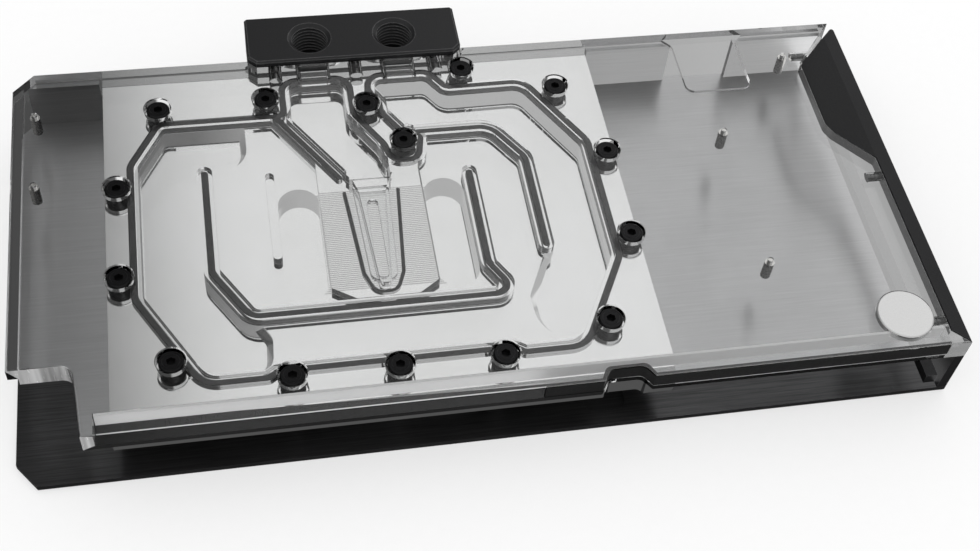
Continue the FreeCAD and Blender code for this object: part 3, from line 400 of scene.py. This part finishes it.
# %% [markdown]
# The cold plate is copper under bright nickel. Plating copies the surface below it, so faint cutter
# marks stay visible in the gloss. The colour of nickel is a grey with a touch of warmth; the pale light
# seen on it directly is the studio that it mirrors. Nickel that is mirrored in nickel would add a
# second, broken set of reflections. The real walls show an even grey there, so a mirrored ray meets a
# painted reflection instead: the nickel turns black for it and shows a plain painted glow, darker at
# the left end and left off the underside.

# %% nickel
SECOND_MIRROR_GLOW = (-80 * MM, -50 * MM, 0.16, 0.5)
UNDERSIDE_FACING = -0.5


def make_nickel():
    material, tree, shader = new_material("nickel_plate")
    marks = effect(tree, cutter_marks, Pitch=700.0, Wander=2.0).outputs
    cloud = effect(tree, grain, Scale=30.0, Detail=4.0)
    mirrored = mirrored_ray(tree)
    tone = ramp(tree, cloud.outputs["Value"], (0.76, 0.76, 0.755), (0.80, 0.80, 0.80))
    # Painted reflection: a mirrored ray sees the nickel black and gets the painted glow below instead.
    connect(tree, blend(tree, mirrored, tone, (0, 0, 0)), shader.inputs["Base Color"])
    connect(tree, ramp(tree, marks["Tone"], 0.05, 0.09), shader.inputs["Roughness"])
    shader.inputs["Metallic"].default_value = 1.0
    # Painted glow for mirrored rays on faces that don't look down, darker towards the left end.
    upper = calculate(tree, "GREATER_THAN", facing(tree, "Z"), UNDERSIDE_FACING)
    shown = calculate(tree, "MULTIPLY", mirrored, upper)
    painted_glow(tree, shader, calculate(tree, "MULTIPLY", shown, along(tree, "X", *SECOND_MIRROR_GLOW)))
    bump(tree, shader, marks["Height"], 0.000002, 0.15)
    return material


nickel = make_nickel()
print("material", nickel.name)

# %% [markdown]
# Acrylic is plain refraction: index 1.49, full transmission and almost no colour. The gloss is where
# the detail lives. The polished faces carry the faintest unevenness, and the milled floors a little
# haze, so the roughness and the bump vary over the surface while the transmission stays constant.

# %% clear acrylic
ACRYLIC_INDEX = 1.49


def make_acrylic():
    material, tree, shader = new_material("clear_acrylic")
    marks = effect(tree, cutter_marks, Pitch=420.0, Wander=1.0)
    cloud = effect(tree, grain, Scale=45.0, Detail=3.0).outputs["Value"]
    tone = ramp(tree, cloud, (0.985, 0.99, 0.99), (0.995, 0.998, 0.998))
    connect(tree, tone, shader.inputs["Base Color"])
    connect(tree, ramp(tree, marks.outputs["Tone"], 0.0, 0.02), shader.inputs["Roughness"])
    shader.inputs["IOR"].default_value = ACRYLIC_INDEX
    shader.inputs["Transmission Weight"].default_value = 1.0
    bump(tree, shader, cloud, 0.000004, 0.12)
    return material


acrylic = make_acrylic()
print("material", acrylic.name)

# %% [markdown]
# An acrylic wall that a cutter has left unpolished isn't clear. It scatters light, and its upright
# tool marks show as a curtain of paler and darker streaks. Only a third of the light goes through this
# one, and a noise that is long in height and short along the wall gives the streaks.


# %% milled edge
def make_milled_edge():
    material, tree, shader = new_material("acrylic_milled_edge")
    streaks = effect(tree, grain, Scale=260.0, Stretch=(1, 1, 0.04), Detail=2.0).outputs["Value"]
    fine = effect(tree, grain, Scale=1800.0, Stretch=(1, 1, 0.1), Detail=2.0)
    connect(tree, ramp(tree, streaks, (0.10, 0.10, 0.10), (1.0, 1.0, 1.0)), shader.inputs["Base Color"])
    connect(tree, ramp(tree, fine.outputs["Value"], 0.1, 0.3), shader.inputs["Roughness"])
    shader.inputs["IOR"].default_value = ACRYLIC_INDEX
    shader.inputs["Transmission Weight"].default_value = 0.3
    bump(tree, shader, streaks, 0.00002, 0.3)
    return material


milled_edge = make_milled_edge()
print("material", milled_edge.name)

# %% [markdown]
# The gaskets are moulded rubber cords: dark, dull, with a soft skin that is never quite even. Against
# the acrylic a cord looks wet, because it touches the groove, so a little gloss is kept.


# %% rubber
def make_rubber():
    material, tree, shader = new_material("gasket_rubber")
    speck = effect(tree, grain, Scale=3000.0, Detail=4.0).outputs["Value"]
    cloud = effect(tree, grain, Scale=150.0, Detail=3.0)
    tone = ramp(tree, cloud.outputs["Value"], (0.045, 0.045, 0.046), (0.075, 0.075, 0.076))
    connect(tree, tone, shader.inputs["Base Color"])
    connect(tree, ramp(tree, speck, 0.45, 0.62), shader.inputs["Roughness"])
    bump(tree, shader, speck, 0.00003, 0.3)
    return material


rubber = make_rubber()
print("material", rubber.name)

# %% [markdown]
# The terminal is milled from black acetal, a dense and slightly waxy plastic. Its faces keep a satin
# gloss with fine cutter arcs. Its bevels and thread crests are coloured lighter as thin lines of
# painted highlight.


# %% acetal
def make_acetal():
    material, tree, shader = new_material("black_acetal")
    marks = effect(tree, cutter_marks, Pitch=900.0, Wander=1.0)
    speck = effect(tree, grain, Scale=1800.0, Detail=4.0).outputs["Value"]
    edges = effect(tree, edge_wear_and_highlight, Radius=0.00035, Patchiness=0.3)
    tone = ramp(tree, speck, (0.010, 0.010, 0.0105), (0.016, 0.016, 0.017))
    # Painted highlight: bevels and thread crests take a lighter grey instead of catching light.
    wear_and_highlight = blend(tree, edges.outputs["Mask"], tone, (0.22, 0.22, 0.222))
    connect(tree, wear_and_highlight, shader.inputs["Base Color"])
    connect(tree, ramp(tree, marks.outputs["Tone"], 0.3, 0.4), shader.inputs["Roughness"])
    shader.inputs["Specular IOR Level"].default_value = 0.35
    bump(tree, shader, speck, 0.00001, 0.2)
    return material


acetal = make_acetal()
print("material", acetal.name)

# %% [markdown]
# The screws are steel with a black oxide skin. The skin is thin, so the metal shows through on every
# edge of the head and of the socket, and that lighter edge colour is also a painted highlight. The same
# recipe with other numbers gives the plated brass of the spacers and the duller metal of the inserts.


# %% screws and brass
def plated(name, dark, light, gloss, metal, edge_tone, pitch):
    material, tree, shader = new_material(name)
    speck = effect(tree, grain, Scale=pitch, Detail=4.0).outputs["Value"]
    edges = effect(tree, edge_wear_and_highlight, Radius=0.0001, Patchiness=0.5)
    # Edge colour: wear and a painted highlight.
    wear_and_highlight = blend(tree, edges.outputs["Mask"], ramp(tree, speck, dark, light), edge_tone)
    connect(tree, wear_and_highlight, shader.inputs["Base Color"])
    connect(tree, ramp(tree, speck, *gloss), shader.inputs["Roughness"])
    shader.inputs["Metallic"].default_value = metal
    bump(tree, shader, speck, 0.00001, 0.2)
    return material


black_steel = plated("black_steel_screws", dark=(0.018, 0.018, 0.019), light=(0.032, 0.032, 0.033),
                     gloss=(0.28, 0.38), metal=0.9, edge_tone=(0.12, 0.12, 0.122), pitch=2200.0)
brass = plated("plated_brass_parts", dark=(0.62, 0.61, 0.59), light=(0.74, 0.73, 0.71),
               gloss=(0.2, 0.32), metal=1.0, edge_tone=(0.85, 0.85, 0.83), pitch=1500.0)
dark_brass = plated("dark_brass_inserts", dark=(0.10, 0.10, 0.10), light=(0.16, 0.16, 0.158),
                    gloss=(0.3, 0.42), metal=1.0, edge_tone=(0.3, 0.3, 0.3), pitch=1500.0)
print("materials", black_steel.name, brass.name, dark_brass.name)

# %% [markdown]
# The disc in the corner is bead-blasted aluminium, plain and pale, with a finer, brighter bevel. It is
# left bare here, and the recipe of the plated parts gives it too.

# %% satin disc
disc_satin = plated("satin_disc_metal", dark=(0.84, 0.84, 0.835), light=(0.92, 0.92, 0.915),
                    gloss=(0.38, 0.46), metal=0.85, edge_tone=(0.95, 0.95, 0.95), pitch=2600.0)
print("material", disc_satin.name)

# %% [markdown]
# The lighting strip is a white flexible board behind a diffuser, with a little painted glow on its
# white, and the shade is a black tape. That black is also painted as shade on the front wall below the
# groove, and the groove floor is a painted shade in a glossier black. All are simple plastics, told
# apart from paint by their slight speckle and uneven gloss.


# %% strip plastics
def strip_plastic(name, dark, light, gloss, glow=0.0):
    material, tree, shader = new_material(name)
    speck = effect(tree, grain, Scale=1600.0, Detail=4.0).outputs["Value"]
    cloud = effect(tree, grain, Scale=90.0, Stretch=(0.3, 1, 1), Detail=2.0)
    connect(tree, ramp(tree, cloud.outputs["Value"], dark, light), shader.inputs["Base Color"])
    connect(tree, ramp(tree, speck, *gloss), shader.inputs["Roughness"])
    painted_glow(tree, shader, glow)
    bump(tree, shader, speck, 0.00002, 0.25)
    return material


# The strip's glow is painted light.
strip_white = strip_plastic("white_strip_plastic", (0.80, 0.80, 0.80), (0.88, 0.88, 0.88),
                            gloss=(0.45, 0.6), glow=0.2)
# This black is the real tape and also painted shade on the front wall.
black_tape_and_painted_shade = strip_plastic("black_tape", (0.008, 0.008, 0.008), (0.014, 0.014, 0.014),
                           gloss=(0.4, 0.55))
# The groove floor's black is painted shade.
groove_painted_shade = strip_plastic("groove_painted_shade", (0.006, 0.006, 0.006), (0.012, 0.012, 0.012),
                             gloss=(0.1, 0.2))
print("materials", strip_white.name, black_tape_and_painted_shade.name, groove_painted_shade.name)

# %% [markdown]
# Now the finishes go onto the CAD solids. Each node keeps its mesh and its place; only the material in
# its slot changes.

# %% finishes on the nodes
FINISH = {
    "backplate": backplate_black,
    "end_cover": cover_black,
    "main_gasket": rubber,
    "inner_gasket": rubber,
    "jet_gasket": rubber,
    "terminal_seals": rubber,
    "terminal_block": acetal,
    "top_screws": black_steel,
    "terminal_screws": black_steel,
    "cover_screws": black_steel,
    "backplate_screws": black_steel,
    "terminal_inserts": dark_brass,
    "cover_inserts": dark_brass,
    "end_spacers": brass,
    "plate_spacers": brass,
    "badge_disc": disc_satin,
    "light_strip": strip_white,
    "light_shade": black_tape_and_painted_shade,
}
for name, material in FINISH.items():
    mesh = cad[name].data
    mesh.materials.clear()
    mesh.materials.append(material)
print("finished", len(FINISH), "nodes")

# %% [markdown]
# The photograph shows the coolant flanks milled down into the nickel, under a ceiling that is level
# everywhere. The CAD top holds the same room above the seal plane. The two widest ceilings of the top
# therefore give both shapes: their outline is sunk into the plate as a pocket with a sloped foot, and
# the ceilings themselves come down to the height of the other channels.

# %% flank ceilings
CHANNEL = 2.35 * MM
TALLEST = CHANNEL + 0.6 * MM
CLEARLY_ABOVE = 0.3 * MM
LOOKS_DOWN = -0.3
WELD = 0.001 * MM
seal = min(v.co.z for v in cad["clear_top"].data.vertices)
level = seal + CHANNEL


def welded(mesh):
    """Editable copy of a mesh, with its points joined where faces meet."""
    skin = bmesh.new()
    skin.from_mesh(mesh)
    bmesh.ops.remove_doubles(skin, verts=skin.verts, dist=WELD)
    skin.normal_update()
    return skin


def is_tall_ceiling(face):
    heights = [v.co.z - level for v in face.verts]
    return face.normal.z < LOOKS_DOWN and min(heights) > CLEARLY_ABOVE and max(heights) < TALLEST


def broad_ceilings(skin, count):
    """The widest groups of joined downward faces that lie above the common channel height."""
    tall = [face for face in skin.faces if is_tall_ceiling(face)]
    waiting = set(tall)
    groups = []
    for first in tall:
        if first not in waiting:
            continue
        waiting.discard(first)
        group = [first]
        for face in group:
            for edge in face.edges:
                for other in edge.link_faces:
                    if other in waiting:
                        waiting.discard(other)
                        group.append(other)
        groups.append(group)
    groups.sort(key=lambda faces: -sum(f.calc_area() for f in faces))
    return groups[:count]


skin = welded(cad["clear_top"].data)
ceilings = broad_ceilings(skin, 2)
print("ceilings", [round(sum(f.calc_area() for f in g) / MM ** 2) for g in ceilings], "mm2, seal at",
      round(seal / MM, 2), "mm")

# %% [markdown]
# A pocket is cut by a closed body. The body's floor is the ceiling turned upside down at the seal
# plane, so that what stood above the level is now depth, and its lid lies a little above the metal.
# Walls join the two along the border of the ceiling's faces.

# %% pocket bodies
LID = 0.4 * MM


def new_object(name, data):
    thing = bpy.data.objects.new(name, data)
    bpy.context.scene.collection.objects.link(thing)
    return thing


def on_border(edge, inside):
    return sum(face in inside for face in edge.link_faces) == 1


def pocket_tool(faces):
    """Closed body over one ceiling outline, turned down so that its height becomes depth."""
    tool = bmesh.new()
    floor_of = {}
    lid_of = {}
    for face in faces:
        for v in face.verts:
            if v not in floor_of:
                floor_of[v] = tool.verts.new((v.co.x, v.co.y, seal - (v.co.z - level)))
                lid_of[v] = tool.verts.new((v.co.x, v.co.y, seal + LID))
    inside = set(faces)
    for face in faces:
        tool.faces.new([floor_of[v] for v in face.verts])
        tool.faces.new([lid_of[v] for v in reversed(face.verts)])
        for edge in face.edges:
            if on_border(edge, inside):
                a, b = edge.verts
                tool.faces.new([floor_of[a], floor_of[b], lid_of[b], lid_of[a]])
    bmesh.ops.recalc_face_normals(tool, faces=tool.faces)
    mesh = bpy.data.meshes.new("pocket_tool")
    tool.to_mesh(mesh)
    tool.free()
    return new_object("pocket_tool", mesh)


cutters = [pocket_tool(faces) for faces in ceilings]
print("pocket bodies", [len(cutter.data.polygons) for cutter in cutters], "faces")

# %% [markdown]
# The nickel plate is a copy of the CAD plate with both bodies cut out of it. The cut leaves the stored
# surface directions of the CAD mesh out of date, so they are dropped, and shading is smooth again up
# to a sharp angle. The copy stands for the CAD plate, which stays in the model for collision, hidden.

# %% nickel pockets
SHARP = math.radians(30)


def cut_away(piece, cutters):
    """The mesh that is left when the cutters are taken from a piece."""
    for cutter in cutters:
        cut = piece.modifiers.new("pocket", "BOOLEAN")
        cut.operation = "DIFFERENCE"
        cut.solver = "EXACT"
        cut.object = cutter
    ready = piece.evaluated_get(bpy.context.evaluated_depsgraph_get())
    result = bpy.data.meshes.new_from_object(ready)
    piece.modifiers.clear()
    for cutter in cutters:
        bpy.data.objects.remove(cutter)
    return result


def pocketed_plate():
    mesh = cad["cold_plate"].data.copy()
    solid = welded(mesh)
    solid.to_mesh(mesh)
    solid.free()
    piece = new_object("nickel_plate", mesh)
    result = cut_away(piece, cutters)
    if "custom_normal" in result.attributes:
        result.attributes.remove(result.attributes["custom_normal"])
    result.polygons.foreach_set("use_smooth", [True] * len(result.polygons))
    result.set_sharp_from_angle(angle=SHARP)
    result.materials.clear()
    result.materials.append(nickel)
    piece.data = result
    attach(piece, "root")
    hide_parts("cold_plate")
    return piece


nickel_plate = pocketed_plate()
lowest = min(v.co.z for v in nickel_plate.data.vertices)
print(nickel_plate.name, len(nickel_plate.data.polygons), "faces, lowest", round(lowest / MM, 2), "mm")

# %% [markdown]
# To bring a ceiling down, every point on it has to move, also the points of the walls and fillets that
# end in it. Those lie on the border of the ceiling's faces, so each point of the top near that height
# is compared with the border's edges, seen from above.

# %% lowered points
NEAR_LEVEL = 0.1 * MM
ON_LINE = 0.03 * MM
PAST_END = 0.01


def spot(point):
    """A place in hundredths of a millimetre, to find the same point in another mesh."""
    return tuple(round(c / MM, 2) for c in point)


def touches(flat, rims):
    """True if a place seen from above lies on one of the border edges."""
    for a, b in rims:
        near, share = intersect_point_line(flat, a, b)
        if -PAST_END < share < 1 + PAST_END and (near.to_2d() - flat).length < ON_LINE:
            return True
    return False


def lowered_points():
    """Points of the top that come down to the common ceiling."""
    places = set()
    rims = []
    for faces in ceilings:
        inside = set(faces)
        for face in faces:
            places.update(spot(v.co) for v in face.verts)
            rims += [[v.co.to_2d() for v in edge.verts] for edge in face.edges
                     if on_border(edge, inside)]
    for v in skin.verts:
        if level + NEAR_LEVEL < v.co.z < level + TALLEST and touches(v.co.to_2d(), rims):
            places.add(spot(v.co))
    return places


lowered = lowered_points()
print(len(lowered), "points come down to", round(level / MM, 2), "mm")

# %% [markdown]
# The acrylic top sits on the nickel without glue, so a film of air is between them. That film matters
# in a picture: without it the two surfaces lie in one place and the renderer can't tell which it meets
# first. The clear pieces are therefore copies that are a few hundredths of a millimetre smaller. They
# keep the exact surface directions of the CAD mesh, so that curved walls refract without facets, and
# only the lowered ceilings get new ones, straight down.

# %% clear pieces
SHARPEST_CORNER = 2.0
DOWN = Vector((0, 0, -1))
NEARLY_LEVEL = 0.3


def inward_moves(mesh, shrink):
    """How far each point of a mesh moves when its skin is drawn in by shrink."""
    solid = welded(mesh)
    moves = {}
    for v in solid.verts:
        step = shrink * min(v.calc_shell_factor(), SHARPEST_CORNER)
        moves[spot(v.co)] = v.normal * -step
    solid.free()
    return moves


def clear_copy(node, name, shrink, lowered):
    """Copy of a clear node that is smaller by shrink, with some points brought down."""
    mesh = cad[node].data.copy()
    mesh.name = name
    moves = inward_moves(mesh, shrink)
    normals = [c.vector.copy() for c in mesh.corner_normals]
    sunk = set()
    missed = 0
    for v in mesh.vertices:
        place = spot(v.co)
        if place in lowered:
            v.co.z = level
            sunk.add(v.index)
        if place in moves:
            v.co += moves[place]
        else:
            missed += 1
    for face in mesh.polygons:
        if sunk.issuperset(face.vertices) and abs(normals[face.loop_start].z) > NEARLY_LEVEL:
            for corner in face.loop_indices:
                normals[corner] = DOWN
    mesh.normals_split_custom_set(normals)
    piece = new_object(name, mesh)
    mesh.materials.clear()
    mesh.materials.append(acrylic)
    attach(piece, "root")
    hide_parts(node)
    print(name, len(mesh.polygons), "faces,", missed, "points left in place")
    return piece


acrylic_top = clear_copy("clear_top", "acrylic_top", 0.03 * MM, lowered)
acrylic_jet = clear_copy("jet_plate", "acrylic_jet_plate", 0.02 * MM, set())

# %% [markdown]
# Three places on the top are not clear polished acrylic. The walls of the open notch at the front left
# are as the cutter left them. The front wall below the light groove carries a painted shade in the
# black of the tape, and the floor of that groove is a painted black shade as far as the white strip
# reaches.
# Their faces are found by where they lie and look, in millimetres from the top's front left corner and
# from the seal plane.

# %% finishes on single faces
NOTCH_X = (1.15, 22.05)
NOTCH_DEPTH = 23.8
FRONT_SKIN = 0.8
GROOVE_DEPTH = 7.3
STRIP_END = 148.55
GROOVE_FLOOR = (1.15, 2.05)


def finish_index(at, normal):
    """Which of the top's materials a face has: 0 is the clear acrylic."""
    # Groove floor: painted black shade.
    if normal.z > 0.9 and GROOVE_FLOOR[0] < at.z < GROOVE_FLOOR[1]:
        if at.y < GROOVE_DEPTH and at.x < STRIP_END:
            return 3
    # Front wall below the groove: painted shade in the tape's black.
    if normal.y < -0.9 and at.y < FRONT_SKIN and at.z < GROOVE_FLOOR[1] and at.x < STRIP_END:
        return 2
    if abs(normal.z) < 0.2 and normal.x < 0.05:
        if NOTCH_X[0] < at.x < NOTCH_X[1] and at.y < NOTCH_DEPTH:
            return 1
    return 0


for material in (milled_edge, black_tape_and_painted_shade, groove_painted_shade):
    acrylic_top.data.materials.append(material)
corner = Vector((*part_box("clear_top")[0][:2], seal))
for face in acrylic_top.data.polygons:
    face.material_index = finish_index((face.center - corner) / MM, face.normal)
indices = [face.material_index for face in acrylic_top.data.polygons]
print("faces of the top by finish", [indices.count(k) for k in range(4)])

# %% [markdown]
# The studio stands on pale paper. It has to be white for the camera and still hold the object's soft
# shadow, so a part of what the camera sees is plain white light and the rest is paper. Mirrored and
# bent rays meet a darker floor, because the clear edges of the real object show the dark of the room
# there, and through the acrylic that dark gives way to grey towards the right.

# %% floor
FLOOR_WHITE = 0.55
FLOOR_MIRRORED = 0.10
FLOOR_THROUGH = (-0.12, 0.1, 0.06, 0.4)


def either(tree, share, first, second):
    """Shows the first shader, or the second one by its share."""
    node = add(tree, "ShaderNodeMixShader")
    for value, socket in zip((share, first, second), node.inputs):
        connect(tree, value, socket)
    return node.outputs[0]


def make_floor_paper():
    material, tree, shader = new_material("floor_paper")
    speck = effect(tree, grain, Scale=300.0, Detail=3.0)
    tone = ramp(tree, speck.outputs["Value"], (0.90, 0.90, 0.90), (0.92, 0.92, 0.92))
    connect(tree, tone, shader.inputs["Base Color"])
    shader.inputs["Roughness"].default_value = 0.7
    shader.inputs["Specular IOR Level"].default_value = 0.2
    path = rays(tree)
    white = add(tree, "ShaderNodeEmission", Color=WHITE, Strength=1.0).outputs[0]
    share = calculate(tree, "MULTIPLY", path["Is Camera Ray"], FLOOR_WHITE)
    pale = either(tree, share, shader.outputs["BSDF"], white)
    through = along(tree, "X", *FLOOR_THROUGH)
    shade = blend(tree, path["Is Transmission Ray"], FLOOR_MIRRORED, through)
    dark = add(tree, "ShaderNodeEmission", Color=WHITE, Strength=shade).outputs[0]
    seen = either(tree, path["Is Glossy Ray"], pale, dark)
    connect(tree, seen, tree.nodes["Material Output"].inputs["Surface"])
    return material


def make_floor():
    bpy.ops.mesh.primitive_plane_add(size=6.0, location=(0, 0, -0.0001))
    floor = bpy.context.object
    floor.name = "studio_floor"
    floor.data.materials.append(make_floor_paper())
    return floor


floor = make_floor()
print("floor", floor.name)

# %% [markdown]
# The sky has three looks. The camera sees plain white. Plain light from it is even, so that a colour
# renders about as it is written. Mirrored and bent rays see a graded studio: dark on the left and pale
# on the right, and behind the object more strongly so than in front of it. Metal and clear plastic
# take their whole character from that fall of light. It is a grade in the world itself, so it stays
# where it is when the object is seen from another side.

# %% sky
EVEN_LIGHT = (1.05, 1.05, 1.05)
BEHIND = (0.05, 0.4, 0.0, 1.0)
BENT_SIDE = (-0.165, 0.01, 0.12, 0.92)
BENT_FRONT = 0.55
MIRRORED_SIDE = (-0.1, 0.4, 0.1, 0.8)
MIRRORED_FRONT = 0.55


def studio_grade(tree, path):
    """Strength of the sky for rays that were bent or mirrored."""
    behind = along(tree, "Y", *BEHIND, space="Generated", smooth=True)
    side = along(tree, "X", *BENT_SIDE, space="Generated", smooth=True)
    open_side = along(tree, "X", *MIRRORED_SIDE, space="Generated", smooth=True)
    bent = blend(tree, behind, calculate(tree, "MULTIPLY", side, BENT_FRONT), side)
    mirrored = blend(tree, behind, MIRRORED_FRONT, open_side)
    return blend(tree, path["Is Transmission Ray"], mirrored, bent)


def make_sky():
    world = bpy.data.worlds.new("studio_sky")
    bpy.context.scene.world = world
    world.use_nodes = True
    tree = world.node_tree
    tree.nodes.clear()
    path = rays(tree)
    shown = calculate(tree, "MAXIMUM", path["Is Glossy Ray"], path["Is Transmission Ray"], clamp=True)
    colour = blend(tree, shown, EVEN_LIGHT, studio_grade(tree, path))
    lit = add(tree, "ShaderNodeBackground", Color=colour, Strength=1.0).outputs[0]
    white = add(tree, "ShaderNodeBackground", Color=WHITE, Strength=1.0).outputs[0]
    output = tree.nodes.new("ShaderNodeOutputWorld")
    connect(tree, either(tree, path["Is Camera Ray"], lit, white), output.inputs["Surface"])
    return world


sky = make_sky()
print("sky", sky.name)

# %% [markdown]
# One large softbox, high up behind the object on the right, gives the shadow its direction. It is a
# lamp of over two metres seen from close by, so the shadow's edge is soft. Mirrors and clear plastic
# don't show it, because its outline isn't seen in the real object either.


# %% softbox
def softbox(name, place, target, width, height, watts):
    lamp = bpy.data.lights.new(name, "AREA")
    lamp.shape = "RECTANGLE"
    lamp.size = width
    lamp.size_y = height
    lamp.energy = watts
    holder = new_object(name, lamp)
    holder.location = place
    aim = Vector(target) - Vector(place)
    holder.rotation_euler = aim.to_track_quat("-Z", "Y").to_euler()
    holder.visible_glossy = False
    holder.visible_transmission = False
    return holder


key = softbox("key_softbox", place=(0.95, 1.05, 1.35), target=(0, 0, 0), width=2.4, height=1.6,
              watts=4.2)
print("lamp", key.name, key.data.energy, "W")

# %% [markdown]
# The camera stands where a photographer would hold it for the whole plate: in front, a little to the
# left, looking down at about fifty degrees. Its place and its two directions were solved from the
# long edges and corners in the photograph.

# %% camera
EYE = (-0.068254, -0.277161, 0.355644)
AHEAD = Vector((0.16552, 0.58239, -0.79588))
RIGHT = Vector((0.98202, -0.17163, 0.07864))
SENSOR = 36.0
LENS = 53.09


def make_camera():
    lens = bpy.data.cameras.new("camera")
    lens.sensor_width = SENSOR
    lens.lens = LENS
    lens.clip_start = 0.01
    lens.clip_end = 20.0
    camera = new_object("camera", lens)
    ahead = AHEAD.normalized()
    right = (RIGHT - ahead * RIGHT.dot(ahead)).normalized()
    up = right.cross(ahead)
    turn = Matrix((right, up, -ahead)).transposed()
    camera.matrix_world = Matrix.Translation(EYE) @ turn.to_4x4()
    bpy.context.scene.camera = camera
    return camera


camera = make_camera()
bpy.context.scene.view_settings.view_transform = "Standard"
print("camera", [round(v, 3) for v in camera.location])
